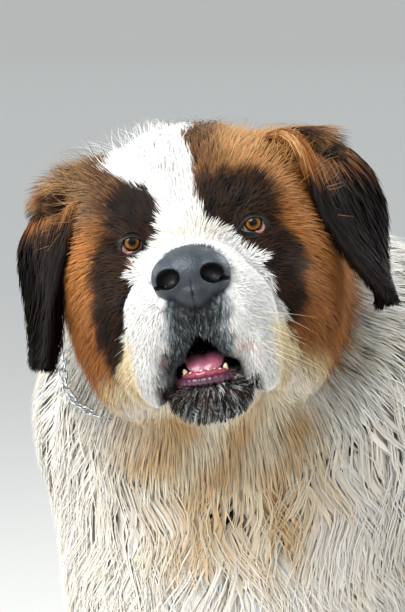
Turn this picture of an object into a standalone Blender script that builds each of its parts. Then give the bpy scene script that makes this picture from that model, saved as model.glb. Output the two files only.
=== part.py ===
"""A life-size long-haired Saint Bernard, sitting, with its head turned to its left and tilted.

The dog faces -Y, its left side is +X and the floor is Z = 0, in metres. The bare body is a blend of
rounded forms. Each form also says how deep the coat on it is and which way the hair lies, so the
solid flesh and the locks of the long coat both come from the same short list.
"""

import math

import bpy
import bmesh
import numpy as np
from mathutils import Matrix, Vector
from mathutils.kdtree import KDTree

MM = 0.001
GAP = 0.3 * MM            # kept between pieces that touch
WELD = 0.002 * MM         # an edge shorter than this becomes a point
TOUCH = 0.01 * MM         # surfaces nearer than this are drawn apart
SEED = 9

# Driving dimensions of the sitting dog
WITHERS = 0.73            # top of the bare shoulders
ELBOW = 0.40              # height of the elbow
WRIST = 0.145             # height of the wrist
BACK_SLOPE = math.radians(53)      # of the trunk, from level
CHEST_HALF = 0.148        # half width of the bare rib cage
LEG_SPREAD = 0.118        # from the middle plane to a forefoot
HIND_SPREAD = 0.195       # from the middle plane to a hind foot
PAW_HALF = 0.050          # half width of a forepaw

# The head, placed by the point midway between the eyes
EYES_AT = Vector((0.050, -0.360, 0.862))
EYE_GAP = 100 * MM
EYE_RADIUS = 12.5 * MM
EYE_SET = -12.0           # millimetres to each ball's middle from the plane of the head's origin
EAR_THICKNESS = 13 * MM   # with its hair
MOUTH_FLOOR = -117.0      # millimetres, the top of the lower jaw
GUM_HALF = 18.0           # millimetres, half the width of the lower front teeth
HEAD_TURN = math.radians(25.6)
HEAD_LIFT = math.radians(11)
HEAD_TILT = math.radians(9)

# How much of the coat's depth the solid flesh takes up where locks stand on it
CORE_SHARE = 0.5

HEAD = (
    Matrix.Translation(EYES_AT)
    @ Matrix.Rotation(HEAD_TURN, 4, "Z")
    @ Matrix.Rotation(-HEAD_LIFT, 4, "X")
    @ Matrix.Rotation(-HEAD_TILT, 4, "Y")
)


def rows(matrix):
    """The turning part of a matrix as an array."""
    return np.array(matrix.to_3x3())


class Egg:
    """An ellipsoid with its own axes."""

    def __init__(self, centre, radii, turn=None):
        self.centre = np.array(centre, float)
        self.radii = np.array(radii, float)
        self.axes = np.eye(3) if turn is None else rows(turn)

    def reach(self, points):
        """Roughly how far each point lies outside, and the way out."""
        local = (points - self.centre) @ self.axes
        scaled = local / self.radii
        slope = scaled / self.radii
        size = np.sqrt((scaled**2).sum(1)) + 1e-9
        steep = np.sqrt((slope**2).sum(1)) + 1e-9
        return size * (size - 1) / steep, (slope / steep[:, None]) @ self.axes.T

    def add_to(self, shape):
        matrix = Matrix.Translation(self.centre) @ Matrix(self.axes.tolist()).to_4x4()
        matrix = matrix @ Matrix.Diagonal((*self.radii, 1))
        bmesh.ops.create_icosphere(shape, subdivisions=2, radius=1, matrix=matrix)


class Limb:
    """A ball that grows or shrinks on its way from one point to another, flattened sideways by thin."""

    def __init__(self, start, end, start_radius, end_radius, thin=1.0):
        self.start, self.end = np.array(start, float), np.array(end, float)
        self.start_radius, self.end_radius, self.thin = start_radius, end_radius, thin

    def reach(self, points):
        """Roughly how far each point lies outside, and the way out."""
        along = self.end - self.start
        share = np.clip((points - self.start) @ along / (along @ along), 0, 1)
        offset = points - self.start - share[:, None] * along
        offset[:, 0] /= self.thin
        size = np.sqrt((offset**2).sum(1)) + 1e-9
        radius = self.start_radius + (self.end_radius - self.start_radius) * share
        out = offset / size[:, None]
        out[:, 0] /= self.thin
        steep = np.sqrt((out**2).sum(1))
        return (size - radius) / steep, out / steep[:, None]

    def add_to(self, shape):
        along = Vector(self.end - self.start)
        flat = Matrix.Diagonal((self.thin, 1, 1, 1))
        for point, radius in ((self.start, self.start_radius), (self.end, self.end_radius)):
            matrix = Matrix.Translation(point) @ flat
            bmesh.ops.create_icosphere(shape, subdivisions=2, radius=radius, matrix=matrix)
        middle = Matrix.Translation((self.start + self.end) / 2)
        matrix = middle @ flat @ along.to_track_quat("Z", "Y").to_matrix().to_4x4()
        bmesh.ops.create_cone(shape, cap_ends=True, segments=16, radius1=self.start_radius,
                              radius2=self.end_radius, depth=along.length, matrix=matrix)


class Form:
    """A rounded form with its blend into the others, its coat's depth and the way its hair lies."""

    def __init__(self, shape, soft, coat, lie, short=False):
        self.shape, self.soft, self.coat = shape, soft, coat
        self.core = coat if short else CORE_SHARE * coat
        self.lie = np.array(Vector(lie).normalized())


def read(forms, points):
    """For each point: the blended distance to the bare body, the way out, coat depth, core depth, lie.

    Two forms whose distances differ by less than soft melt into each other. The coat and the lie are
    averages weighted by nearness.
    """
    distance = np.full(len(points), 1e3)
    out = np.zeros((len(points), 3))
    weight = np.full(len(points), 1e-12)
    coat, core, lie = np.zeros(len(points)), np.zeros(len(points)), np.zeros((len(points), 3))
    for form in forms:
        reach, way = form.shape.reach(points)
        mix = np.clip(0.5 + 0.5 * (distance - reach) / form.soft, 0, 1)
        distance = distance + (reach - distance) * mix - form.soft * mix * (1 - mix)
        out += (way - out) * mix[:, None]
        near = np.exp(-np.clip(reach, -0.2, 0.6) / 0.016)
        weight += near
        coat += near * form.coat
        core += near * form.core
        lie += near[:, None] * form.lie
    coat, core = coat / weight, core / weight
    lie /= np.sqrt((lie**2).sum(1))[:, None] + 1e-9
    return distance, out, coat, core, lie


def head_forms():
    """The bare head, in millimetres from the point midway between the eyes."""
    turn = HEAD.to_3x3()
    found = []

    def lump(centre, radii, soft, coat, lie, pitch=0.0, paired=False):
        for side in (-1, 1) if paired else (1,):
            at = HEAD @ (Vector((side * centre[0], centre[1], centre[2])) * MM)
            own = turn @ Matrix.Rotation(math.radians(pitch), 3, "X")
            egg = Egg(at, [r * MM for r in radii], own)
            way = turn @ Vector((side * lie[0], lie[1], lie[2]))
            found.append(Form(egg, soft * MM, coat * MM, way, short=True))

    lump((0, 80, 6), (88, 96, 84), 30, 9, (0, 1, 0.1))
    lump((76, 66, 50), (24, 40, 24), 24, 9, (0.5, 0.8, 0), paired=True)
    lump((28, 26, 36), (34, 36, 34), 24, 7, (0.3, 0.7, 0.7), paired=True)
    lump((64, 34, 12), (28, 50, 32), 28, 8, (0.4, 0.9, 0.1), paired=True)
    lump((74, 40, -22), (30, 54, 30), 26, 9, (0.3, 0.9, -0.3), paired=True)
    lump((66, 56, -60), (38, 56, 52), 26, 13, (0.1, 0.6, -0.8), paired=True)
    lump((64, 22, -92), (29, 44, 42), 20, 12, (0.1, 0.4, -0.9), paired=True)
    lump((45, -2, -36), (26, 27, 24), 22, 5, (0.5, 0.6, -0.6), paired=True)
    lump((60, 4, -62), (30, 44, 34), 24, 7, (0.4, 0.6, -0.7), paired=True)
    lump((0, -2, -6), (34, 22, 26), 22, 5, (0, 0.7, 0.7))
    lump((46, 1, 18), (26, 15, 11), 12, 5, (0.7, 0.4, 0.5), paired=True)
    lump((0, -50, -36), (36, 66, 23), 16, 4, (0, 1, 0.1), pitch=4)
    lump((0, -60, -62), (48, 58, 36), 14, 4, (0, 0.8, -0.6))
    lump((27, -84, -70), (29, 36, 34), 10, 3.5, (0.5, 0.5, -0.7), paired=True)
    lump((42, -62, -96), (15, 46, 36), 10, 3.5, (0.2, 0.3, -0.9), paired=True)
    lump((52, -20, -98), (15, 38, 32), 12, 5, (0.1, 0.3, -0.9), paired=True)
    lump((0, -26, -128), (34, 66, 17), 8, 8, (0, 0.7, -0.7))
    lump((0, -78, -134), (30, 22, 17), 8, 5, (0, 0.4, -0.9))
    lump((0, 50, -96), (60, 62, 50), 28, 22, (0, 0.3, -0.95))
    lump((0, -108, -42), (27, 17, 22), 8, 1, (0, 1, 0))
    return found


def body_forms():
    """The bare neck, trunk, legs and tail. A pair is made by mirroring across the middle plane."""
    found = []
    down_back = (0, math.cos(BACK_SLOPE), -math.sin(BACK_SLOPE))
    slope = Matrix.Rotation(-BACK_SLOPE, 3, "X")

    def egg(centre, radii, soft, coat, lie, turn=None, paired=False, short=False):
        for side in (-1, 1) if paired else (1,):
            shape = Egg((side * centre[0], *centre[1:]), radii, turn)
            found.append(Form(shape, soft, coat, (side * lie[0], *lie[1:]), short))

    def limb(start, end, radii, soft, coat, lie, thin=1.0, paired=False, short=False):
        for side in (-1, 1) if paired else (1,):
            shape = Limb((side * start[0], *start[1:]), (side * end[0], *end[1:]), *radii, thin)
            found.append(Form(shape, soft, coat, (side * lie[0], *lie[1:]), short))

    # Neck, throat and dewlap
    nape = HEAD @ (Vector((0, 118, -28)) * MM)
    limb((0, -0.13, 0.650), nape, (0.142, 0.084), 0.05, 0.042, (0, 0.45, -0.9))
    egg((0.015, -0.255, 0.715), (0.070, 0.065, 0.105), 0.05, 0.050, (0, -0.1, -1))

    # Trunk, from the shoulders to the rump
    egg((0, -0.10, WITHERS - 0.115), (0.105, 0.120, 0.115), 0.06, 0.045, (0, 0.5, -0.85))
    egg((0, -0.08, 0.50), (CHEST_HALF, 0.235, 0.160), 0.06, 0.040, down_back, slope)
    egg((0, -0.205, 0.50), (0.095, 0.080, 0.120), 0.05, 0.055, (0, 0.05, -1))
    egg((0, 0.09, 0.315), (0.128, 0.200, 0.132), 0.06, 0.040, down_back, slope)
    egg((0, 0.215, 0.195), (0.128, 0.130, 0.128), 0.05, 0.045, (0, 0.6, -0.8))
    egg((0, 0.265, 0.100), (0.110, 0.090, 0.095), 0.05, 0.040, (0, 0.5, -0.6))

    # Forelegs
    egg((0.100, -0.145, 0.545), (0.050, 0.085, 0.135), 0.05, 0.026, (0.1, 0.2, -1), paired=True)
    elbow, wrist = (0.125, -0.135, ELBOW), (0.114, -0.195, WRIST)
    limb((0.118, -0.215, 0.505), elbow, (0.062, 0.056), 0.04, 0.030, (0.1, 0.3, -1), paired=True)
    limb(elbow, wrist, (0.055, 0.035), 0.03, 0.018, (0, 0.15, -1), paired=True)
    pastern = (LEG_SPREAD, -0.222, 0.055)
    limb(wrist, pastern, (0.037, 0.036), 0.02, 0.010, (0, 0, -1), paired=True, short=True)

    # Hind legs, folded under the dog
    hip, knee = (0.118, 0.205, 0.185), (0.188, -0.005, 0.270)
    hock, ball = (0.172, 0.200, 0.058), (0.188, 0.040, 0.036)
    limb(hip, knee, (0.118, 0.070), 0.05, 0.045, (0.2, 0.5, -0.85), thin=0.72, paired=True)
    limb(knee, hock, (0.062, 0.036), 0.03, 0.030, (0, 0.6, -0.8), paired=True)
    limb(hock, ball, (0.033, 0.032), 0.02, 0.010, (0, -0.9, -0.3), paired=True, short=True)

    for middle, half in FEET:
        found += paws(middle, half)

    # Tail, laid round to the dog's left
    bones = tail_line()
    for first, second in zip(bones, bones[1:]):
        way = second[0] - first[0]
        limb(first[0], second[0], (first[1], second[1]), 0.03, 0.045, way)
    return found


TOES = (-1.5, -0.5, 0.5, 1.5)
FEET = (((LEG_SPREAD, -0.258), PAW_HALF), ((HIND_SPREAD, -0.012), 0.9 * PAW_HALF))


def toe_tip(side, middle, half, toe):
    """The middle of a toe's ball, and how far the toe fans out."""
    fan = math.radians(9 * toe)
    reach = half * (1.42 - 0.14 * abs(toe))
    return (side * middle[0] + math.sin(fan) * reach + 0.30 * half * toe,
            middle[1] - math.cos(fan) * reach * 0.86, 0.42 * half), fan


def paws(middle, half):
    """A pair of forepaws or hind paws: a pad of flesh and four toes that fan out."""
    found, lie = [], (0, -0.9, -0.4)
    for side in (-1, 1):
        pad = Egg((side * middle[0], middle[1], 0.70 * half), (0.96 * half, 1.25 * half, 0.74 * half))
        found.append(Form(pad, 0.016, 0.006, lie, short=True))
        for toe in TOES:
            tip, fan = toe_tip(side, middle, half, toe)
            shape = Egg(tip, (0.29 * half, 0.60 * half, 0.45 * half), Matrix.Rotation(-fan, 3, "Z"))
            found.append(Form(shape, 0.007, 0.005, lie, short=True))
    return found


def claws():
    """A short blunt claw on each toe."""
    found = []
    for middle, half in FEET:
        for side in (-1, 1):
            for toe in TOES:
                tip, fan = toe_tip(side, middle, half, toe)
                ahead = Vector((math.sin(fan), -math.cos(fan), 0))
                start = Vector(tip) + ahead * 0.46 * half + Vector((0, 0, 0.05 * half))
                rings = [[start + ahead * reach + Vector((math.cos(a), 0, math.sin(a))) * radius
                          for a in (0.5, 1.57, 2.6, 3.8, 5.6)]
                         for reach, radius in ((0, 0.10 * half), (0.18 * half, 0.08 * half))]
                found.append(lofted("claw", rings, start + ahead * 0.32 * half - Vector((0, 0, 0.12 * half))))
    return found


def tail_line():
    """Points down the tail's middle and the bare radius at each."""
    root, length, bend = Vector((0.0, 0.335, 0.115)), 0.44, math.radians(150)
    steps, at, found = 6, Vector(root), []
    for step in range(steps + 1):
        share = step / steps
        found.append((at.copy(), 0.034 - 0.020 * share))
        heading = math.radians(100) - bend * (share + 0.08) ** 1.5 * 0.62
        drop = -0.55 * (1 - share) ** 4
        way = Vector((math.cos(heading), math.sin(heading), drop)).normalized()
        at += way * length / steps
        at.z = max(at.z, 0.048)
    return found


# Mesh helpers

def new_object(name, shape):
    """An object made from a bmesh, which is used up."""
    mesh = bpy.data.meshes.new(name)
    bmesh.ops.recalc_face_normals(shape, faces=shape.faces)
    shape.to_mesh(mesh)
    shape.free()
    obj = bpy.data.objects.new(name, mesh)
    bpy.context.scene.collection.objects.link(obj)
    return obj


def remove(*objects):
    for obj in objects:
        bpy.data.objects.remove(obj)


def applied(obj, kind, **settings):
    """The object with one modifier of this kind applied."""
    modifier = obj.modifiers.new(kind, kind)
    for setting, value in settings.items():
        setattr(modifier, setting, value)
    graph = bpy.context.evaluated_depsgraph_get()
    mesh = bpy.data.meshes.new_from_object(obj.evaluated_get(graph), depsgraph=graph)
    obj.modifiers.clear()
    obj.data = mesh
    return obj


def boolean(obj, operation, others, solver="MANIFOLD"):
    """Cuts obj by the others, joins them to it or keeps what they share, and removes them."""
    group = bpy.data.collections.new("others")
    bpy.context.scene.collection.children.link(group)
    for other in others:
        group.objects.link(other)
    applied(obj, "BOOLEAN", operation=operation, operand_type="COLLECTION", collection=group,
            solver=solver)
    remove(*others)
    bpy.data.collections.remove(group)
    return obj


def corners(mesh):
    """The mesh's vertices as an array."""
    found = np.empty(len(mesh.vertices) * 3, np.float32)
    mesh.vertices.foreach_get("co", found)
    return found.reshape(-1, 3).astype(float)


def base_mesh(forms, voxel):
    """The forms' own primitives, fused and evenly meshed by a voxel remesh."""
    shape = bmesh.new()
    for form in forms:
        form.shape.add_to(shape)
    return applied(new_object("base", shape), "REMESH", mode="VOXEL", voxel_size=voxel)


def settle(obj, forms, level, rounds=6):
    """Moves each vertex along the way out until it lies level above the bare body."""
    points = corners(obj.data)
    for _ in range(rounds):
        distance, out, coat, core, _ = read(forms, points)
        points -= out * (distance - level(coat, core))[:, None] * 0.9
    obj.data.vertices.foreach_set("co", points.astype(np.float32).ravel())
    obj.data.update()
    return obj


def thinned(obj, triangles, dense=None):
    """The object decimated to about this many triangles, denser where dense(points) is high."""
    settings = {"ratio": triangles / (2 * len(obj.data.vertices))}
    if dense is not None:
        group = obj.vertex_groups.new(name="dense")
        for index, weight in enumerate(dense(corners(obj.data))):
            group.add([index], float(weight), "REPLACE")
        settings |= {"vertex_group": "dense", "vertex_group_factor": 1.0, "invert_vertex_group": True}
    applied(obj, "DECIMATE", **settings)
    obj.vertex_groups.clear()
    return obj


def grown(obj, by):
    """A copy of the object pushed out along its normals, to cut a neighbour clear of it."""
    copy = bpy.data.objects.new(obj.name + "_grown", obj.data.copy())
    bpy.context.scene.collection.objects.link(copy)
    points = corners(copy.data)
    normals = np.empty(len(points) * 3, np.float32)
    copy.data.vertices.foreach_get("normal", normals)
    points += normals.reshape(-1, 3) * by
    copy.data.vertices.foreach_set("co", points.astype(np.float32).ravel())
    copy.data.update()
    return copy


def ball(name, centre, radii, turn=None, level=3):
    """An ellipsoid object."""
    shape = bmesh.new()
    matrix = Matrix.Translation(centre) @ (turn or Matrix()).to_4x4() @ Matrix.Diagonal((*radii, 1))
    bmesh.ops.create_icosphere(shape, subdivisions=level, radius=1, matrix=matrix)
    return new_object(name, shape)


def lofted(name, rings, tip=None):
    """A closed solid through rings of points, with flat ends, or with a point for its far end."""
    shape = bmesh.new()
    loops = [[shape.verts.new(point) for point in ring] for ring in rings]
    count = len(loops[0])
    for near, far in zip(loops, loops[1:]):
        for i in range(count):
            shape.faces.new((near[i], near[(i + 1) % count], far[(i + 1) % count], far[i]))
    shape.faces.new(loops[0][::-1])
    if tip is None:
        shape.faces.new(loops[-1])
    else:
        end = shape.verts.new(tip)
        for i in range(count):
            shape.faces.new((loops[-1][i], loops[-1][(i + 1) % count], end))
    return new_object(name, shape)


def block(low, high, frame=None):
    """A box between two corners, in a frame of its own."""
    low, high = Vector(low), Vector(high)
    shape = bmesh.new()
    matrix = (frame or Matrix()) @ Matrix.Translation((low + high) / 2) @ Matrix.Diagonal((*(high - low), 1))
    bmesh.ops.create_cube(shape, size=1, matrix=matrix)
    return new_object("block", shape)


def volume(faces):
    """The volume closed by a set of triangles."""
    return sum(a.co.dot(b.co.cross(c.co)) for a, b, c in (face.verts for face in faces)) / 6


def part_touching(shape):
    """Draws in the points where two surfaces of a mesh touch without sharing an edge."""
    tree = KDTree(len(shape.verts))
    shape.verts.ensure_lookup_table()
    for index, vert in enumerate(shape.verts):
        tree.insert(vert.co, index)
    tree.balance()
    touching = []
    for vert in shape.verts:
        near = {shape.verts[index] for _, index, _ in tree.find_range(vert.co, TOUCH)}
        if near - {vert} - {edge.other_vert(vert) for edge in vert.link_edges}:
            touching.append(vert)
    for vert in touching:
        vert.co -= vert.normal * 2 * TOUCH


def largest(obj):
    """The object in triangles with only its largest closed surface kept, clear of itself."""
    shape = bmesh.new()
    shape.from_mesh(obj.data)
    bmesh.ops.triangulate(shape, faces=shape.faces)
    bmesh.ops.dissolve_degenerate(shape, dist=WELD, edges=shape.edges)
    bmesh.ops.triangulate(shape, faces=shape.faces)
    waiting, pieces = set(shape.faces), []
    while waiting:
        front = [waiting.pop()]
        pieces.append(set(front))
        while front:
            for edge in front.pop().edges:
                if len(edge.link_faces) == 2:
                    for face in waiting.intersection(edge.link_faces):
                        waiting.discard(face)
                        pieces[-1].add(face)
                        front.append(face)
    kept = max(pieces, key=volume)
    bmesh.ops.delete(shape, geom=[face for face in shape.faces if face not in kept], context="FACES")
    part_touching(shape)
    shape.to_mesh(obj.data)
    shape.free()
    return obj


# Locks of the long coat

LOCK_SPACING = 0.093      # between the roots of neighbouring locks
LOCK_WIDTH = 0.098
LOCK_LENGTH_PER_COAT = 3.3
LOCK_RINGS = 4
FULL_COAT = 0.045         # coat this deep has locks of full size
LOCKS_FROM_DEPTH = 0.024  # coat shallower than this has no locks


def spread_roots(points, depth, chance):
    """Points evenly spread over the long coat, in a random order, nearer each other where it is short."""
    order = np.flatnonzero(depth > LOCKS_FROM_DEPTH)
    chance.shuffle(order)
    kept, found = np.full((1, 3), 1e3), []
    for index in order:
        spacing = LOCK_SPACING * (0.6 + 0.4 * min(1, depth[index] / FULL_COAT))
        if ((kept - points[index]) ** 2).sum(1).min() > spacing**2:
            kept = np.vstack((kept, points[index]))
            found.append(index)
    return found


def lock_paths(forms, roots, depth, chance):
    """For each step along the locks: their middle points, ways out and ways along.

    A lock starts under the core's surface and follows the lie of the hair, swirling a little to one
    side, while it rises to the tips of the coat.
    """
    count = len(roots)
    stride = LOCK_LENGTH_PER_COAT * depth * chance.uniform(0.85, 1.15, count) / LOCK_RINGS
    swirl, lift = chance.uniform(-0.3, 0.3, count), chance.uniform(0.85, 1.05, count)
    at, path = roots.copy(), []
    for ring in range(LOCK_RINGS + 1):
        share = ring / LOCK_RINGS
        distance, out, coat, core, lie = read(forms, at)
        height = core * 0.55 + (coat * lift - core * 0.55) * min(1, 1.25 * share) ** 1.1
        at = at + out * (height - distance)[:, None]
        along = lie - out * (lie * out).sum(1)[:, None]
        way = along + np.cross(out, along) * (swirl * math.sin(2.4 * share + 0.5))[:, None]
        way /= np.sqrt((way**2).sum(1))[:, None] + 1e-9
        path.append((at, out, way))
        at = at + way * stride[:, None]
        at[:, 2] = np.maximum(at[:, 2], 0.004)
    return path


def locks(forms, roots, depth, chance):
    """Flat locks: each a thick-middled ribbon that starts inside the flesh and ends in a point."""
    path = lock_paths(forms, roots, depth, chance)
    width = LOCK_WIDTH * (0.6 + 0.4 * np.minimum(1, depth / FULL_COAT)) * chance.uniform(0.9, 1.1, len(roots))
    rings = []
    for step, (at, out, way) in enumerate(path[:-1]):
        share = step / LOCK_RINGS
        half = (0.5 * width * (0.72 + 0.55 * share) * (1 - share**3.2))[:, None]
        thick = (0.5 * depth * (1 - 0.62 * share))[:, None]
        across, base = np.cross(out, way), at - out * thick
        rings.append((base - across * half, at + 0.1 * across * half, base + across * half))
    return [lofted("lock", [[corner[i] for corner in ring] for ring in rings], path[-1][0][i])
            for i in range(len(roots))]


# The head's own pieces

def on_head(x, y, z):
    """A point of the head given in millimetres from midway between the eyes."""
    return HEAD @ (Vector((x, y, z)) * MM)


def ear(side):
    """A hanging ear: it stands out from the skull, folds and drops, and is hollowed on its inner face."""
    # Middle line, way across and half width of the flap, root to tip, in millimetres
    middle = [(62, 68, 58), (86, 62, 70), (108, 56, 60), (120, 52, 32), (124, 49, 0), (128, 47, -36),
              (133, 44, -70), (137, 41, -90), (138, 40, -96)]
    across = [(0.25, 0.97), (0.35, 0.94), (0.5, 0.87), (0.58, 0.81), (0.56, 0.83), (0.45, 0.89),
              (0.38, 0.92), (0.36, 0.93), (0.36, 0.93)]
    halves = [26, 34, 39, 41, 40, 35, 26, 15, 6]
    last = len(middle) - 1
    rings = []
    for step, (at, (u, v), half) in enumerate(zip(middle, across, halves)):
        at, wide = Vector(at), Vector((u, v, 0)).normalized()
        ahead, behind = middle[min(step + 1, last)], middle[max(step - 1, 0)]
        out = wide.cross(Vector(ahead) - Vector(behind)).normalized()
        ring = []
        for face, shares in ((1, (-1, -0.55, 0, 0.55)), (-1, (1, 0.55, 0, -0.55))):
            for share in shares:
                cup = 7 * (share * share - 0.4)
                thick = EAR_THICKNESS / MM * math.sqrt(1 - 0.9 * share * share)
                point = at + wide * share * half - out * cup + out * face * thick / 2
                ring.append(on_head(side * point.x, point.y, point.z))
        rings.append(ring)
    return lofted("ear", rings)


def lids(side):
    """The rim of the lids round one eye, sunk in the flesh and a hair clear of the ball."""
    steps, sides, thick = 16, 5, 2.6
    rings = []
    for step in range(steps):
        turn = 2 * math.pi * step / steps
        x, z = 10.6 * math.cos(turn), 8.2 * math.sin(turn)
        z += 1.6 * math.cos(turn) ** 2 - 1.4
        y = -math.sqrt((EYE_RADIUS / MM + 1.6) ** 2 - x * x - z * z)
        out = Vector((x, 0, z)).normalized()
        ring = []
        for corner in range(sides):
            angle = 2 * math.pi * corner / sides
            way = out * math.cos(angle) + Vector((0, -1, 0)) * math.sin(angle)
            point = Vector((x, y, z)) + out * 1.2 + way * thick
            ring.append(on_head(side * (EYE_GAP / MM / 2 + point.x), EYE_SET + point.y, point.z))
        rings.append(ring)
    shape = bmesh.new()
    loops = [[shape.verts.new(point) for point in ring] for ring in rings]
    for step in range(steps):
        near, far = loops[step], loops[(step + 1) % steps]
        for i in range(sides):
            shape.faces.new((near[i], near[(i + 1) % sides], far[(i + 1) % sides], far[i]))
    return new_object("lids", shape)


def nose():
    """The nose leather with its nostrils and the groove between them, and the socket it sits in."""
    turn = HEAD.to_3x3()
    shape = bmesh.new()
    for x, y, z, radii in ((0, -111, -38, (25, 21, 21)), (15, -115, -42, (15, 17, 17)),
                           (-15, -115, -42, (15, 17, 17)), (0, -114, -54, (17, 15, 13))):
        matrix = HEAD @ Matrix.Translation(Vector((x, y, z)) * MM) @ Matrix.Diagonal(
            (*(r * MM for r in radii), 1))
        bmesh.ops.create_icosphere(shape, subdivisions=3, radius=1, matrix=matrix)
    leather = applied(new_object("nose", shape), "REMESH", mode="VOXEL", voxel_size=1.2 * MM)
    applied(leather, "SMOOTH", factor=0.5, iterations=6)
    thinned(leather, 300)
    socket = grown(leather, 2 * GAP)
    cutters = []
    for side in (-1, 1):
        own = turn @ Matrix.Rotation(side * 0.5, 3, "Z") @ Matrix.Rotation(side * 0.35, 3, "Y")
        radii = Vector((8.2, 11, 6.4)) * MM
        cutters.append(ball("nostril", on_head(side * 14.5, -130, -43), radii, own, 2))
        slit = Vector((7, 8, 1.6)) * MM
        cutters.append(ball("slit", on_head(side * 25, -124, -49), slit, own, 1))
    groove = Vector((0.9, 7, 13)) * MM
    cutters.append(ball("groove", on_head(0, -132, -57), groove, turn, 2))
    return boolean(leather, "DIFFERENCE", cutters), socket


def mouth_hollow():
    """The space behind the parted lips, a wedge with its edge up and a flat floor on the lower jaw."""
    rings = []
    for y, top, half in ((-150, -80, 25), (-100, -81, 24), (-62, -85, 21), (-46, -92, 15)):
        knee = 0.6 * top + 0.4 * MOUTH_FLOOR
        outline = [(-half, MOUTH_FLOOR), (-0.62 * half, knee), (-0.2 * half, top + 1), (0.2 * half, top + 1),
                   (0.62 * half, knee), (half, MOUTH_FLOOR)]
        rings.append([on_head(x - 1, y, z) for x, z in outline])
    return lofted("mouth", rings)


def tongue():
    """The tongue's body, flat below where it lies on the jaw."""
    turn = HEAD.to_3x3() @ Matrix.Rotation(math.radians(-14), 3, "X")
    body = ball("tongue", on_head(-1, -70, -110), Vector((15, 22, 11)) * MM, turn, level=2)
    floor = block((-60, -140, -160), (60, 0, MOUTH_FLOOR + GAP / MM), HEAD @ Matrix.Scale(MM, 4))
    return boolean(body, "DIFFERENCE", [floor])


def lower_teeth():
    """The front of the lower gum with its six incisors and two canines."""
    gum = []
    for step in range(9):
        turn = math.pi * step / 8
        centre = Vector((-1 - GUM_HALF * math.cos(turn), -79 - 18 * math.sin(turn), MOUTH_FLOOR + 3))
        out = Vector((-math.cos(turn), -math.sin(turn), 0))
        gum.append([on_head(*(centre + out * a + Vector((0, 0, b))))
                    for a, b in ((3.5, -2.7), (3.5, 1), (1, 3.4), (-2, 2), (-3, -2.7))])
    teeth = []
    for turn, radius, height in ((22, 3.0, 12), (48, 1.9, 6.5), (66, 2.0, 7), (82, 2.0, 7), (98, 2.0, 7),
                                 (114, 2.0, 7), (132, 1.9, 6.5), (158, 3.0, 12)):
        turn = math.radians(turn)
        foot = Vector((-1 - GUM_HALF * math.cos(turn), -79 - 18 * math.sin(turn), MOUTH_FLOOR + 2))
        rings = [[on_head(*(foot + Vector((math.cos(a), math.sin(a), 0)) * radius * share
                            + Vector((0, 0, height * rise))))
                  for a in (0, 1.05, 2.09, 3.14, 4.19, 5.24)] for share, rise in ((1, 0), (0.9, 0.6))]
        teeth.append(lofted("tooth", rings, on_head(*(foot + Vector((0, 0, height))))))
    return boolean(lofted("lower_teeth", gum), "UNION", teeth)


# Collar

COLLAR_SLOPE = math.radians(48)    # it lies high at the nape and low at the throat
COLLAR_LINKS = 60
LINK_HALF = 5.5 * MM


def collar_line(forms, steps):
    """Points round the neck a little above the flesh, and the ways out, in the collar's plane."""
    middle = on_head(0, 84, -108)
    frame = Matrix.Translation(middle) @ Matrix.Rotation(COLLAR_SLOPE, 4, "X")
    turns = np.linspace(0, 2 * math.pi, steps, endpoint=False)
    ways = np.stack((np.cos(turns), np.sin(turns), 0 * turns), 1) @ rows(frame).T
    reach = np.full(steps, 0.10)
    for _ in range(12):
        distance, _, _, core, _ = read(forms, np.array(middle) + ways * reach[:, None])
        reach += 0.7 * (core + 0.6 * LINK_HALF - distance)
    for _ in range(8):
        reach = (np.roll(reach, 1) + reach + np.roll(reach, -1)) / 3
    return np.array(middle) + ways * reach[:, None], ways, np.array(frame.to_3x3().col[2])


def collar_ring(line, wide, high, twist=True):
    """A ring on this line with a four-sided section, turned a quarter from link to link by twist."""
    points, outs, up = line
    shape, loops = bmesh.new(), []
    for step, (point, out) in enumerate(zip(points, outs)):
        a, b = (wide, high) if step % 2 or not twist else (high, wide)
        loops.append([shape.verts.new(point + out * a * i + up * b * j)
                      for i, j in ((1, 0), (0, 1), (-1, 0), (0, -1))])
    for near, far in zip(loops, loops[1:] + loops[:1]):
        for i in range(4):
            shape.faces.new((near[i], near[(i + 1) % 4], far[(i + 1) % 4], far[i]))
    return new_object("collar", shape)


# Parting the body into its nodes

FLESH_TRIANGLES = 3700
VOXEL = 6 * MM

# Front outline (x, z) of the cell that holds the lower jaw, in millimetres on the head
JAW_CELL = [(-26, MOUTH_FLOOR), (-37, -132), (-37, -175), (37, -175), (37, -132), (26, MOUTH_FLOOR)]
# Side outlines (y, z) of the cells that hold a foreleg and a hind leg, each from its inner x outwards
FORELEG_INNER, HIND_LEG_INNER, CELL_OUTER = 0.045, 0.088, 0.35
FORELEG_CELL = [(-0.45, -0.02), (-0.45, 0.385), (-0.055, 0.385), (-0.085, 0.30), (-0.135, 0.17),
                (-0.165, 0.05), (-0.165, -0.02)]
HIND_LEG_CELL = [(-0.16, -0.02), (-0.16, 0.17), (-0.10, 0.29), (-0.09, 0.375), (0.10, 0.36),
                 (0.29, 0.27), (0.29, -0.02)]


def facing(point, normal):
    """A frame at a point with its Z along the normal."""
    return Matrix.Translation(point) @ Vector(normal).to_track_quat("Z", "Y").to_matrix().to_4x4()


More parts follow.
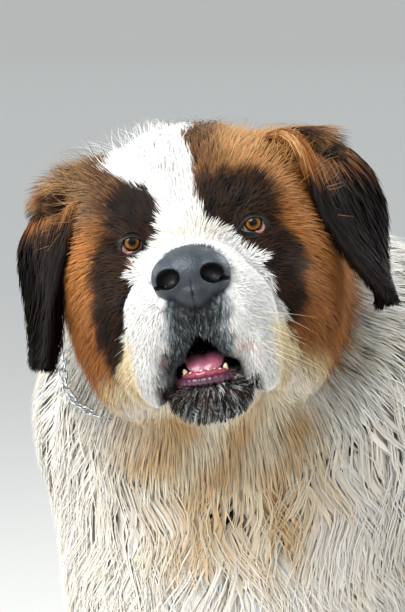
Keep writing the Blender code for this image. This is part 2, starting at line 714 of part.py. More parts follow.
def cells():
    """The named cells in the order in which they are taken out of the body."""
    head_back = facing(on_head(0, 108, -38), HEAD.to_3x3() @ Vector((0, -0.81, 0.58)))
    neck_foot = facing((0, -0.12, 0.725), (0, -0.53, 0.85))
    found = [
        ("jaw", lofted("cell", [[on_head(x, y, z) for x, z in JAW_CELL] for y in (-125, -14)])),
        ("head", block((-0.25, -0.25, 0), (0.25, 0.25, 0.45), head_back)),
        ("neck", block((-0.3, -0.3, 0), (0.3, 0.3, 0.5), neck_foot)),
        ("tail", block((-0.10, 0.374, -0.02), (0.6, 0.9, 0.18))),
    ]
    for side, name in ((-1, "right"), (1, "left")):
        for limb, inner, outline in (("foreleg", FORELEG_INNER, FORELEG_CELL),
                                     ("hind_leg", HIND_LEG_INNER, HIND_LEG_CELL)):
            ends = [[(side * x, y, z) for y, z in outline] for x in (inner, CELL_OUTER)]
            found.append((f"{name}_{limb}", lofted("cell", ends)))
    return found


def parted(body):
    """The nodes cut from the body by the cells, a gap apart. What is left is the torso."""
    nodes = {}
    for name, cell in cells():
        piece = bpy.data.objects.new(name, body.data.copy())
        bpy.context.scene.collection.objects.link(piece)
        boolean(body, "DIFFERENCE", [grown(cell, 2 * GAP)])
        nodes[name] = largest(boolean(piece, "INTERSECT", [cell]))
    body.name = "torso"
    nodes["torso"] = largest(body)
    return nodes


def crowded(points):
    """Where the flesh needs its smallest triangles: on the face and the feet."""
    face = 1.2 - np.linalg.norm(points - np.array(on_head(0, 0, -60)), axis=1) / 0.2
    feet = (1.4 - points[:, 2] / 0.07) * (points[:, 1] < 0.12)
    return np.maximum(np.clip(face, 0, 0.6), np.clip(feet, 0, 0.8))


def build():
    """All nodes by name, before their materials."""
    chance = np.random.default_rng(SEED)
    forms = head_forms() + body_forms()
    body = settle(base_mesh(forms, VOXEL), forms, lambda coat, core: core)
    points = corners(body.data)
    depth = read(forms, points)[2]
    roots = spread_roots(points, depth, chance)
    coat = locks(forms, points[roots], depth[roots], chance)
    line = collar_line(forms, 2 * COLLAR_LINKS)
    thinned(body, FLESH_TRIANGLES, crowded)

    leather, socket = nose()
    nodes = {"nose": leather, "tongue": tongue(), "lower_teeth": lower_teeth(),
             "collar": collar_ring(line, LINK_HALF, 0.4 * LINK_HALF)}
    hollows = [socket, mouth_hollow(), grown(nodes["tongue"], 2 * GAP), grown(nodes["lower_teeth"], 2 * GAP)]
    rims = []
    for side, name in ((-1, "right"), (1, "left")):
        centre = on_head(side * EYE_GAP / MM / 2, EYE_SET, 0)
        nodes[f"{name}_eye"] = ball(f"{name}_eye", centre, [EYE_RADIUS] * 3, level=2)
        opening = on_head(side * EYE_GAP / MM / 2, EYE_SET - 16, 0)
        hollows.append(ball("opening", opening, Vector((12, 14, 9.5)) * MM, HEAD.to_3x3()))
        rims.append(lids(side))
    boolean(body, "DIFFERENCE", hollows)
    boolean(body, "UNION", rims + claws() + coat)
    clear = [grown(nodes[f"{name}_eye"], 2 * GAP) for name in ("right", "left")]
    clear.append(collar_ring(line, LINK_HALF + 1.5 * MM, LINK_HALF + 1.5 * MM, twist=False))
    clear.append(block((-2, -2, -1), (2, 2, 0)))
    boolean(body, "DIFFERENCE", clear)
    largest(body)
    for side, name in ((-1, "right"), (1, "left")):
        flap = ear(side)
        flap.name = f"{name}_ear"
        boolean(flap, "DIFFERENCE", [grown(body, 2 * GAP), grown(nodes["collar"], 2 * GAP)])
        nodes[flap.name] = largest(flap)
    return nodes | parted(body)


COLOURS = {
    "head": ("B8763F", 0.8, 0), "jaw": ("3A2E2B", 0.7, 0), "neck": ("EDE6D8", 0.85, 0),
    "torso": ("E9E1D2", 0.85, 0), "tail": ("F0EBE0", 0.85, 0), "ear": ("2A211E", 0.75, 0),
    "foreleg": ("F2EDE3", 0.85, 0), "hind_leg": ("EBE3D5", 0.85, 0), "eye": ("6E4A1E", 0.1, 0),
    "nose": ("2B2E33", 0.45, 0), "tongue": ("C4717C", 0.4, 0), "lower_teeth": ("D9B9AE", 0.35, 0),
    "collar": ("B9BEC4", 0.3, 1),
}


def linear(code):
    """A colour written as sRGB hex digits, as Blender's linear values."""
    values = [int(code[i:i + 2], 16) / 255 for i in (0, 2, 4)]
    return [v / 12.92 if v <= 0.04045 else ((v + 0.055) / 1.055) ** 2.4 for v in values]


def finish(nodes):
    """Names, colours and shades the nodes and stands them over the origin."""
    everything = np.vstack([corners(obj.data) for obj in nodes.values()])
    low, high = everything.min(0), everything.max(0)
    shift = Matrix.Translation((-(low[0] + high[0]) / 2, -(low[1] + high[1]) / 2, -low[2]))
    for name, obj in nodes.items():
        code, roughness, metallic = COLOURS[name.removeprefix("left_").removeprefix("right_")]
        material = bpy.data.materials.new(name)
        material.use_nodes = True
        shader = material.node_tree.nodes["Principled BSDF"]
        shader.inputs["Base Color"].default_value = (*linear(code), 1)
        shader.inputs["Roughness"].default_value = roughness
        shader.inputs["Metallic"].default_value = metallic
        obj.name = obj.data.name = name
        obj.data.materials.clear()
        obj.data.materials.append(material)
        obj.data.transform(shift)
        obj.data.shade_smooth()
        obj.data.set_sharp_from_angle(angle=math.radians(40))


def main():
    for obj in list(bpy.data.objects):
        bpy.data.objects.remove(obj)
    finish(build())


if __name__ == "__main__":
    main()
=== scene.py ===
"""A life-size long-haired Saint Bernard, sitting with its head turned and tilted, in its full coat.

The bare dog is a blend of rounded forms. One skin lies on that bare surface, and every tuft of the
coat is rooted in it, follows the lie of the hair and rises to the coat's depth there. Lengths are in
metres. Places on the head are in millimetres from the point midway between the eyes: x to the dog's
left, y backwards, z up.
"""

import math
import bmesh
import bpy
import numpy as np
from mathutils import Matrix, Vector


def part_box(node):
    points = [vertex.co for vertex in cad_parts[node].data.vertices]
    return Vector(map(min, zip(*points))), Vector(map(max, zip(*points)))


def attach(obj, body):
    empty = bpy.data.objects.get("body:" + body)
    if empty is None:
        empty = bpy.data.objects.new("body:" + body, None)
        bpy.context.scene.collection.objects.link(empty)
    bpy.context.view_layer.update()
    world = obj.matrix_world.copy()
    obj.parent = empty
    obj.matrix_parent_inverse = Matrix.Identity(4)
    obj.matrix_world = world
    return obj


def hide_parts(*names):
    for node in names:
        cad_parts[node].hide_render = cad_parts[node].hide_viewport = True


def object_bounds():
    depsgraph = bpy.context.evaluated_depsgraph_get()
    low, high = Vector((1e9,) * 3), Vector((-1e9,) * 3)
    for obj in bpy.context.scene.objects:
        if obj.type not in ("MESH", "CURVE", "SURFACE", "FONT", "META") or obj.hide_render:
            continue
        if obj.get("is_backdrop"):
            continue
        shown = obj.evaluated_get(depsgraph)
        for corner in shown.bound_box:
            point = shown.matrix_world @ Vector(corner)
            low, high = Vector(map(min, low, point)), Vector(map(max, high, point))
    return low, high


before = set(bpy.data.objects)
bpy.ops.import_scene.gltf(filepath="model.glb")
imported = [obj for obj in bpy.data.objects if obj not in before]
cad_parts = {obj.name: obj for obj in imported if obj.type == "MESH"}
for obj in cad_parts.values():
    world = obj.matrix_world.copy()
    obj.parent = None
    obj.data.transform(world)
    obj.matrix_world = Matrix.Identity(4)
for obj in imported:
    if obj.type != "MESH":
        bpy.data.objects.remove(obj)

CAD_LOW, CAD_HIGH = (np.array(corner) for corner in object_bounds())
MM = 0.001
SEED = 4

# The dog's driving sizes
WITHERS = 0.73
ELBOW, WRIST = 0.40, 0.145
BACK_SLOPE = math.radians(53)
CHEST_HALF = 0.148
LEG_SPREAD, HIND_SPREAD = 0.118, 0.195
PAW_HALF = 0.050

# The head, placed by the point midway between the eyes
EYES_AT = Vector((0.050, -0.360, 0.862))
EYE_X, EYE_SET, EYE_RADIUS = 50.0, -12.0, 12.5
BALL_SET = -10.4              # the visible ball lies a little deeper
MOUTH_FLOOR = -117.0
HEAD_TURN, HEAD_LIFT, HEAD_TILT = math.radians(25.6), math.radians(11), math.radians(9)
HEAD = (Matrix.Translation(EYES_AT) @ Matrix.Rotation(HEAD_TURN, 4, "Z")
        @ Matrix.Rotation(-HEAD_LIFT, 4, "X") @ Matrix.Rotation(-HEAD_TILT, 4, "Y"))
HEAD_AXES = np.array(HEAD.to_3x3())


def on_head(places):
    """Places on the head in millimetres, as points: the head's own axes times the place, plus its origin."""
    return np.array(EYES_AT) + np.asarray(places, float) * MM @ HEAD_AXES.T


def in_head(points):
    """Points as places on the head in millimetres."""
    return (points - np.array(EYES_AT)) @ HEAD_AXES / MM


# The frame stands over its origin, so all points move by what the left eye's ball moved
SHIFT = np.array(sum(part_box("left_eye"), Vector())) / 2 - on_head((EYE_X, EYE_SET, 0))


# Bare forms


def unit(rows):
    """Each row divided by its length."""
    return rows / (np.sqrt((rows**2).sum(-1, keepdims=True)) + 1e-12)


def smooth(low, high, values):
    """A step that eases from 0 at low to 1 at high."""
    share = np.clip((values - low) / (high - low), 0, 1)
    return share * share * (3 - 2 * share)


class Egg:
    """An ellipsoid with its own axes."""

    def __init__(self, centre, radii, turn=None):
        self.centre, self.radii = np.array(centre, float), np.array(radii, float)
        self.axes = np.eye(3) if turn is None else np.array(turn)
        self.middle, self.span = self.centre, self.radii.max()

    def reach(self, points):
        """Distance outside, about size times (size - 1) over the slope's length, and the way out."""
        scaled = (points - self.centre) @ self.axes / self.radii
        slope = scaled / self.radii
        size = np.sqrt((scaled**2).sum(1)) + 1e-9
        steep = np.sqrt((slope**2).sum(1)) + 1e-9
        return size * (size - 1) / steep, (slope / steep[:, None]) @ self.axes.T

    def add_to(self, shape):
        matrix = Matrix.Translation(self.centre) @ Matrix(self.axes.tolist()).to_4x4()
        matrix = matrix @ Matrix.Diagonal((*self.radii, 1))
        bmesh.ops.create_icosphere(shape, subdivisions=3, radius=1, matrix=matrix)


class Limb:
    """A ball that grows or shrinks on its way from one point to another, flattened sideways by thin."""

    def __init__(self, start, end, start_radius, end_radius, thin=1.0):
        self.start, self.end = np.array(start, float), np.array(end, float)
        self.start_radius, self.end_radius, self.thin = start_radius, end_radius, thin
        self.middle = (self.start + self.end) / 2
        self.span = np.linalg.norm(self.end - self.start) / 2 + max(start_radius, end_radius)

    def reach(self, points):
        """Distance outside the nearest ball on the line, and the way out."""
        along = self.end - self.start
        share = np.clip((points - self.start) @ along / (along @ along), 0, 1)
        offset = points - self.start - share[:, None] * along
        offset[:, 0] /= self.thin
        size = np.sqrt((offset**2).sum(1)) + 1e-9
        out = offset / size[:, None]
        out[:, 0] /= self.thin
        steep = np.sqrt((out**2).sum(1))
        radius = self.start_radius + (self.end_radius - self.start_radius) * share
        return (size - radius) / steep, out / steep[:, None]

    def add_to(self, shape):
        flat = Matrix.Diagonal((self.thin, 1, 1, 1))
        for point, radius in ((self.start, self.start_radius), (self.end, self.end_radius)):
            bmesh.ops.create_icosphere(shape, subdivisions=3, radius=radius,
                                       matrix=Matrix.Translation(point) @ flat)
        along = Vector(self.end - self.start)
        matrix = (Matrix.Translation(self.middle) @ flat
                  @ along.to_track_quat("Z", "Y").to_matrix().to_4x4())
        bmesh.ops.create_cone(shape, cap_ends=True, segments=24, radius1=self.start_radius,
                              radius2=self.end_radius, depth=along.length, matrix=matrix)


class Form:
    """A rounded form, how softly it melts into the others, its coat's depth and the lie of its hair."""

    def __init__(self, shape, soft, coat, lie):
        self.shape, self.soft, self.coat = shape, soft, coat
        self.lie = unit(np.array(lie, float))


def head_forms():
    """The bare head in millimetres."""
    found = []

    def lump(centre, radii, soft, coat, lie, pitch=0.0, paired=False):
        for side in (-1, 1) if paired else (1,):
            own = HEAD.to_3x3() @ Matrix.Rotation(math.radians(pitch), 3, "X")
            egg = Egg(on_head((side * centre[0], *centre[1:])), np.array(radii) * MM, own)
            way = HEAD_AXES @ (side * lie[0], *lie[1:])
            found.append(Form(egg, soft * MM, coat * MM, way))

    lump((0, 80, 6), (88, 96, 84), 30, 9, (0, 1, 0.1))
    lump((76, 66, 50), (24, 40, 24), 24, 9, (0.5, 0.8, 0), paired=True)
    lump((28, 26, 36), (34, 36, 34), 24, 7, (0.3, 0.7, 0.7), paired=True)
    lump((64, 34, 12), (28, 50, 32), 28, 10, (0.35, 0.6, -0.6), paired=True)
    lump((74, 40, -22), (30, 54, 30), 26, 12, (0.25, 0.5, -0.8), paired=True)
    lump((66, 56, -60), (38, 56, 52), 26, 13, (0.1, 0.6, -0.8), paired=True)
    lump((64, 22, -92), (29, 44, 42), 20, 12, (0.1, 0.4, -0.9), paired=True)
    lump((45, -2, -36), (26, 27, 24), 22, 5, (0.5, 0.6, -0.6), paired=True)
    lump((60, 4, -62), (30, 44, 34), 24, 7, (0.4, 0.6, -0.7), paired=True)
    lump((0, -2, -6), (34, 22, 26), 22, 5, (0, 0.7, 0.7))
    lump((46, 1, 18), (26, 15, 11), 12, 5, (0.7, 0.4, 0.5), paired=True)
    lump((0, -50, -36), (36, 66, 23), 16, 4, (0, 1, 0.1), pitch=4)
    lump((0, -60, -62), (48, 58, 36), 14, 4, (0, 0.8, -0.6))
    lump((27, -84, -70), (29, 36, 34), 10, 3.5, (0.5, 0.5, -0.7), paired=True)
    lump((42, -62, -96), (15, 46, 36), 10, 3.5, (0.2, 0.3, -0.9), paired=True)
    lump((52, -20, -98), (15, 38, 32), 12, 5, (0.1, 0.3, -0.9), paired=True)
    lump((0, -26, -128), (34, 66, 17), 8, 8, (0, 0.7, -0.7))
    lump((0, -78, -134), (30, 22, 17), 8, 5, (0, 0.4, -0.9))
    lump((0, 50, -96), (60, 62, 50), 28, 22, (0, 0.3, -0.95))
    lump((0, -100, -43), (26, 13, 20), 8, 2, (0, 1, 0))
    lump((EYE_X, BALL_SET, 0), (13.0, 13.0, 13.0), 7, 4, (0.7, 0.5, 0.4), paired=True)
    return found


TOES = (-1.5, -0.5, 0.5, 1.5)
FEET = (((LEG_SPREAD, -0.258), PAW_HALF), ((HIND_SPREAD, -0.012), 0.9 * PAW_HALF))


def toe_tip(side, middle, half, toe):
    """The middle of a toe's ball, and how far the toe fans out."""
    fan = math.radians(9 * toe)
    reach = half * (1.42 - 0.14 * abs(toe))
    return (side * middle[0] + math.sin(fan) * reach + 0.30 * half * toe,
            middle[1] - math.cos(fan) * reach * 0.86, 0.42 * half), fan


def paws(middle, half):
    """A pair of paws: a pad of flesh and four toes that fan out."""
    found, lie = [], (0, -0.9, -0.4)
    for side in (-1, 1):
        pad = Egg((side * middle[0], middle[1], 0.70 * half), (0.96 * half, 1.25 * half, 0.74 * half))
        found.append(Form(pad, 0.016, 0.006, lie))
        for toe in TOES:
            tip, fan = toe_tip(side, middle, half, toe)
            shape = Egg(tip, (0.29 * half, 0.60 * half, 0.45 * half), Matrix.Rotation(-fan, 3, "Z"))
            found.append(Form(shape, 0.007, 0.005, lie))
    return found


def tail_line():
    """Points down the tail's middle and the bare radius at each."""
    root, length, bend = Vector((0.0, 0.335, 0.115)), 0.44, math.radians(150)
    steps, at, found = 6, Vector(root), []
    for step in range(steps + 1):
        share = step / steps
        found.append((at.copy(), 0.034 - 0.020 * share))
        heading = math.radians(100) - bend * (share + 0.08) ** 1.5 * 0.62
        drop = -0.55 * (1 - share) ** 4
        way = Vector((math.cos(heading), math.sin(heading), drop)).normalized()
        at += way * length / steps
        at.z = max(at.z, 0.048)
    return found


def body_forms():
    """The bare neck, trunk, legs and tail."""
    found = []
    down_back = (0, math.cos(BACK_SLOPE), -math.sin(BACK_SLOPE))
    slope = Matrix.Rotation(-BACK_SLOPE, 3, "X")

    def egg(centre, radii, soft, coat, lie, turn=None, paired=False):
        for side in (-1, 1) if paired else (1,):
            shape = Egg((side * centre[0], *centre[1:]), radii, turn)
            found.append(Form(shape, soft, coat, (side * lie[0], *lie[1:])))

    def limb(start, end, radii, soft, coat, lie, thin=1.0, paired=False):
        for side in (-1, 1) if paired else (1,):
            shape = Limb((side * start[0], *start[1:]), (side * end[0], *end[1:]), *radii, thin)
            found.append(Form(shape, soft, coat, (side * lie[0], *lie[1:])))

    # Neck, throat and dewlap
    limb((0, -0.13, 0.665), on_head((0, 118, -28)), (0.130, 0.084), 0.05, 0.060, (0, 0.45, -0.9))
    egg((0.094, -0.120, 0.712), (0.058, 0.080, 0.066), 0.05, 0.058, (0.3, 0.3, -0.9), paired=True)
    egg((0.098, -0.180, 0.668), (0.052, 0.070, 0.055), 0.05, 0.045, (0.2, 0.2, -0.9), paired=True)
    egg((0.015, -0.255, 0.715), (0.070, 0.065, 0.105), 0.05, 0.050, (0, -0.1, -1))

    # Trunk, from the shoulders to the rump
    egg((0, -0.10, WITHERS - 0.115), (0.105, 0.120, 0.115), 0.06, 0.050, (0, 0.5, -0.85))
    egg((0, -0.08, 0.50), (CHEST_HALF, 0.235, 0.160), 0.06, 0.040, down_back, slope)
    egg((0, -0.205, 0.50), (0.095, 0.080, 0.120), 0.05, 0.055, (0, 0.05, -1))
    egg((0, 0.09, 0.315), (0.128, 0.200, 0.132), 0.06, 0.040, down_back, slope)
    egg((0, 0.215, 0.195), (0.128, 0.130, 0.128), 0.05, 0.045, (0, 0.6, -0.8))
    egg((0, 0.265, 0.100), (0.110, 0.090, 0.095), 0.05, 0.040, (0, 0.5, -0.6))

    # Forelegs
    egg((0.098, -0.145, 0.560), (0.048, 0.085, 0.120), 0.05, 0.024, (0.1, 0.2, -1), paired=True)
    elbow, wrist = (0.125, -0.135, ELBOW), (0.114, -0.195, WRIST)
    limb((0.090, -0.160, 0.500), elbow, (0.040, 0.050), 0.04, 0.020, (0.1, 0.3, -1), paired=True)
    limb(elbow, wrist, (0.055, 0.035), 0.03, 0.018, (0, 0.15, -1), paired=True)
    limb(wrist, (LEG_SPREAD, -0.222, 0.055), (0.037, 0.036), 0.02, 0.010, (0, 0, -1), paired=True)

    # Hind legs, folded under the dog
    hip, knee = (0.118, 0.205, 0.185), (0.188, -0.005, 0.270)
    hock, ball = (0.172, 0.200, 0.058), (0.188, 0.040, 0.036)
    limb(hip, knee, (0.118, 0.070), 0.05, 0.045, (0.2, 0.5, -0.85), thin=0.72, paired=True)
    limb(knee, hock, (0.062, 0.036), 0.03, 0.030, (0, 0.6, -0.8), paired=True)
    limb(hock, ball, (0.033, 0.032), 0.02, 0.010, (0, -0.9, -0.3), paired=True)
    for middle, half in FEET:
        found += paws(middle, half)

    # Tail, laid round to the dog's left
    bones = tail_line()
    for first, second in zip(bones, bones[1:]):
        limb(first[0], second[0], (first[1], second[1]), 0.03, 0.045, second[0] - first[0])
    return found


FORMS = head_forms() + body_forms()
NEAR_ENOUGH = 0.11   # a form further away than this has no say
HIDE_REACH = 0.016   # how soon a form's coat and lie lose their say with distance


def read(points):
    """For each point: distance to the bare dog, way out, coat depth and lie of the hair.

    Two forms whose distances differ by less than soft melt into each other by a quadratic blend. The
    coat and the lie are averages weighted by exp(-reach / HIDE_REACH).
    """
    distance, out = np.full(len(points), 1.0), np.zeros((len(points), 3))
    weight, coat, lie = np.full(len(points), 1e-12), np.zeros(len(points)), np.zeros((len(points), 3))
    for form in FORMS:
        gap = ((points - form.shape.middle) ** 2).sum(1) - (form.shape.span + NEAR_ENOUGH) ** 2
        some = np.flatnonzero(gap < 0)
        if not len(some):
            continue
        reach, way = form.shape.reach(points[some])
        so_far = distance[some]
        mix = np.clip(0.5 + 0.5 * (so_far - reach) / form.soft, 0, 1)
        distance[some] = so_far + (reach - so_far) * mix - form.soft * mix * (1 - mix)
        out[some] += (way - out[some]) * mix[:, None]
        near = np.exp(-np.clip(reach, -0.2, 0.6) / HIDE_REACH)
        weight[some] += near
        coat[some] += near * form.coat
        lie[some] += near[:, None] * form.lie
    return distance, unit(out), coat / weight, unit(lie)


def core(coat):
    """How deep the coat is too dense to see into: nothing in short hair, and half of a long coat."""
    return 0.5 * coat * smooth(0.012, 0.04, coat)


def swell(points, size, seed):
    """Smooth noise from -1 to 1: a mean of sine waves of about this length in seeded directions."""
    chance = np.random.default_rng(seed)
    total = np.zeros(len(points))
    for _ in range(7):
        way = unit(chance.normal(size=3)) * chance.uniform(0.7, 1.6) * 2 * math.pi / size
        total += np.sin(points @ way + chance.uniform(0, 2 * math.pi))
    return total / 3.2


def gathered(points, size, seed):
    """Each point's nearest clump centre, one jittered centre for every cell of a grid, and its number."""
    cell = np.floor(points / size)
    best, centre, number = np.full(len(points), 1e9), np.zeros_like(points), np.zeros(len(points))
    for step in np.ndindex(3, 3, 3):
        here = cell + np.array(step) - 1
        mixed = np.sin(here @ np.array([[127.1, 269.5, 419.2], [311.7, 183.3, 371.9],
                                        [74.7, 246.1, 128.4]]) + seed) * 43758.5453
        own = (here + mixed - np.floor(mixed)) * size
        far = ((own - points) ** 2).sum(1)
        closer = far < best
        best[closer], centre[closer] = far[closer], own[closer]
        number[closer] = (mixed[closer, 0] * 7.31) % 1
    return centre, number


# Markings, the same on the skin and the coat


def colour(code):
    """sRGB hex digits as linear values."""
    values = np.array([int(code[i:i + 2], 16) / 255 for i in (0, 2, 4)])
    return np.where(values <= 0.04045, values / 12.92, ((values + 0.055) / 1.055) ** 2.4)


WHITE, CREAM, SAND = colour("F6F3EE"), colour("E6D3A6"), colour("C9A06C")
TAN, RUST, BROWN, SOOT = colour("B0723A"), colour("7E471F"), colour("3E2618"), colour("120C09")
SLATE, PINK, FROST = colour("2A3136"), colour("CFA095"), colour("C9D2D4")

# The blaze, millimetres: at each height, where it ends on the dog's right and on its left
BLAZE = np.array([(-160, -70, 72), (-100, -70, 66), (-78, -58, 62), (-59, -53, 58), (-42, -52, 55),
                  (-30, -52, 51), (-22, -47, 45), (-12, -41, 36), (-2, -29, 24), (5, -23, 13),
                  (11, -22, 8), (26, -25, 6), (38, -33, 6), (47, -46, 6), (55, -58, 6), (95, -64, 6),
                  (130, -44, 10)])


# The dark hair below the nose, millimetres: at each height, where it ends on the dog's right and left
SLATE_EDGE = np.array([(-124, -36, 26), (-104, -38, 24), (-91, -28, 24), (-72, -25, 26), (-57, -28, 28),
                       (-40, -30, 30), (-20, -20, 20)])


def mixed(base, other, share):
    return base + (other - base) * np.clip(share, 0, 1)[:, None]


def head_markings(places, points):
    """The head's colours: white blaze and muzzle, dark masks round the eyes, tan outside them."""
    x, y, z = places.T
    wander = 3.5 * swell(points, 0.030, 11) + 1.5 * swell(points, 0.009, 12)
    xs, zs = x + wander, z + 3.0 * swell(points, 0.028, 13)
    right = np.interp(zs, BLAZE[:, 0], BLAZE[:, 1])
    left = np.interp(zs, BLAZE[:, 0], BLAZE[:, 2])
    streak = 0.5 + 0.5 * swell(points * (1, 1, 0.35), 0.012, 14)

    # Tan, lighter over the forehead, its own lighter tan and partly a painted highlight where the light falls,
    # redder on the cheeks, brown where it meets the mask
    found = np.tile(TAN, (len(x), 1))
    found = mixed(found, SAND, smooth(10, 75, zs) * (0.35 + 0.4 * streak))
    found = mixed(found, RUST, smooth(-20, -75, zs) * (0.35 + 0.5 * streak))
    found = mixed(found, BROWN, smooth(38, 6, xs - left) * smooth(0, 30, zs) * (0.55 + 0.6 * streak))
    found = mixed(found, SAND, smooth(-64, -88, xs) * smooth(10, 50, zs) * 0.5)

    # Dark masks: an egg round each eye that reaches down the cheek
    left_mask = np.maximum(
        1 - np.sqrt(((xs - 38) / 33) ** 2 + ((zs - 5) / 38) ** 2),
        1 - np.sqrt(((xs - 62) / 19) ** 2 + ((zs + 40) / 42) ** 2))
    right_mask = np.maximum(
        1 - np.sqrt(((xs + 40) / 23) ** 2 + ((zs - 14) / 35) ** 2),
        1 - np.sqrt(((xs + 62) / 17) ** 2 + ((zs + 52) / 64) ** 2))
    mask = np.maximum(left_mask, right_mask)
    found = mixed(found, BROWN, smooth(-0.22, 0.04, mask) * (0.55 + 0.45 * streak))
    found = mixed(found, SOOT, smooth(-0.06, 0.16, mask) * (0.62 + 0.4 * (1 - streak)))

    # White blaze and muzzle, cream behind the flews and sand under the jaw
    ends = smooth(120, 165, y + 0.3 * z)
    inside = np.minimum(xs - right, left - xs)
    white = smooth(-1.5, 1.5, inside)
    pale = mixed(np.tile(WHITE, (len(x), 1)), CREAM, smooth(-70, -88, z) * smooth(48, 58, abs(x)))
    pale = mixed(pale, CREAM, 0.35 * smooth(14, -4, z) * smooth(30, 10, abs(x)) * smooth(-45, -20, y))
    found = mixed(found, pale, white)
    under = smooth(-96, -118, z + 0.15 * y) * smooth(-64, -30, y + 0.4 * (z + 120))
    found = mixed(found, mixed(np.tile(SAND, (len(x), 1)), CREAM, streak), under)

    # Slate hair with frosted tips from the nose down to the mouth, and the dark chin
    fleck = 0.5 + 0.5 * swell(points, 0.0035, 15)
    from_edge = np.minimum(x - np.interp(z, SLATE_EDGE[:, 0], SLATE_EDGE[:, 1]),
                           np.interp(z, SLATE_EDGE[:, 0], SLATE_EDGE[:, 2]) - x) + 3 * swell(points, 0.012, 16)
    slate = smooth(-4, 5, from_edge) * smooth(-76, -88, y) * smooth(-128, -122, z)
    frost = 0.55 * (fleck - 0.42) + 0.45 * smooth(11, 0, from_edge)
    dusk = mixed(mixed(np.tile(SLATE, (len(x), 1)), FROST, frost), SOOT,
                 0.8 * smooth(-84, -66, z) * smooth(24, 8, abs(x)))
    found = mixed(found, dusk, slate)
    chin = smooth(-117, -121, z) * smooth(-58, -70, y) * smooth(44, 36, abs(x))
    jaw = mixed(mixed(np.tile(SOOT, (len(x), 1)), BROWN, 0.3 + 0.5 * swell(points, 0.012, 19)), FROST,
                (fleck - 0.62) * 0.8 + 0.45 * smooth(-134, -146, z) * fleck)
    foam = smooth(0.2, 0.5, swell(points, 0.0060, 18)) * smooth(-10, 14, x) * smooth(-132, -126, z)
    found = mixed(found, mixed(jaw, WHITE, 0.9 * foam), chin)
    rose = smooth(0.15, 0.7, swell(points, 0.022, 17)) * smooth(-84, -92, y) * smooth(-88, -96, z)
    rose = rose * smooth(-114, -108, z)
    found = mixed(found, PINK, 0.5 * rose * smooth(20, 28, abs(x)) * smooth(46, 36, abs(x)))
    return found, ends


def body_markings(points):
    """White with a red-brown mantle over the back and thighs, sooty along the spine, white legs and tip."""
    x, y, z = points.T
    edge = 0.020 * swell(points, 0.16, 21) + 0.008 * swell(points, 0.04, 22)
    # Height over a line that runs from the withers down the flank to the hind foot
    over = (y + 0.03) * 0.86 + (z - 0.50) * 0.20 + edge
    mantle = smooth(-0.012, 0.012, over) * smooth(0.115, 0.135, z + edge)
    mantle = mantle * smooth(0.47, 0.44, y + edge)
    streak = 0.5 + 0.5 * swell(points * (1, 1, 0.4), 0.030, 23)
    found = mixed(np.tile(RUST, (len(x), 1)), TAN, 0.3 + 0.6 * streak)
    found = mixed(found, SAND, 0.5 * smooth(0.10, 0.20, abs(x)))
    spine = smooth(0.10, 0.03, abs(x)) * smooth(0.02, 0.10, y)
    found = mixed(found, BROWN, spine * (0.4 + 0.5 * streak))
    pale = mixed(np.tile(WHITE, (len(x), 1)), CREAM, 0.22 + 0.14 * swell(points, 0.07, 24))
    throat = smooth(0.130, 0.050, np.sqrt((x - 0.06) ** 2 + (y + 0.34) ** 2 + ((z - 0.70) * 1.1) ** 2))
    swirl = 0.5 + 0.5 * swell(points, 0.040, 25)
    pale = mixed(pale, CREAM, 0.45 * smooth(0.2, 0.9, throat + 0.4 * swell(points, 0.06, 26)))
    pale = mixed(pale, SAND, throat * np.clip(0.15 + 0.75 * swirl, 0, 1))
    return mixed(pale, found, mantle)


def markings(points):
    """The coat's colour at points of the dog: the head's own, handed over to the body's behind it."""
    places = in_head(points)
    x, y, z = places.T
    head, behind = head_markings(places, points)
    collar = smooth(108, 118, y - 0.55 * (z + 20)) + smooth(-112, -132, z - 0.35 * np.clip(-y, 0, 60))
    jowl = np.interp(y, (-60, 0, 60, 110), (-150, -120, -112, -60))
    collar = np.clip(collar + smooth(jowl, jowl - 14, z + 4 * swell(points, 0.02, 31)), 0, 1)
    in_front = smooth(-20, -50, y)
    away = smooth(168, 184, np.sqrt(x * x + (0.8 * (y - 40)) ** 2 + (z + 30) ** 2))
    return mixed(head, body_markings(points), np.maximum(collar * (1 - in_front), np.maximum(behind, away)))


# Mesh helpers


def mesh_piece(name, points, faces, colours=None):
    """An object from an array of points and lists of faces of equal size, with its place in its mesh."""
    mesh = bpy.data.meshes.new(name)
    faces = [np.asarray(some, np.int32) for some in (faces if isinstance(faces, list) else [faces])]
    sizes = np.concatenate([np.full(len(some), some.shape[1], np.int32) for some in faces])
    corners = np.concatenate([some.ravel() for some in faces])
    mesh.vertices.add(len(points))
    mesh.vertices.foreach_set("co", (points + SHIFT).astype(np.float32).ravel())
    mesh.loops.add(len(corners))
    mesh.loops.foreach_set("vertex_index", corners)
    mesh.polygons.add(len(sizes))
    mesh.polygons.foreach_set("loop_start", np.concatenate(([0], np.cumsum(sizes)[:-1])).astype(np.int32))
    mesh.update(calc_edges=True)
    mesh.validate()
    mesh.polygons.foreach_set("use_smooth", np.ones(len(mesh.polygons), bool))
    if colours is not None:
        paint(mesh, colours)
    obj = bpy.data.objects.new(name, mesh)
    bpy.context.scene.collection.objects.link(obj)
    return obj


def paint(mesh, colours):
    """Stores one colour a point for the material to read."""
    layer = mesh.color_attributes.new("Coat", "FLOAT_COLOR", "POINT")
    layer.data.foreach_set("color", np.c_[colours, np.ones(len(colours))].astype(np.float32).ravel())


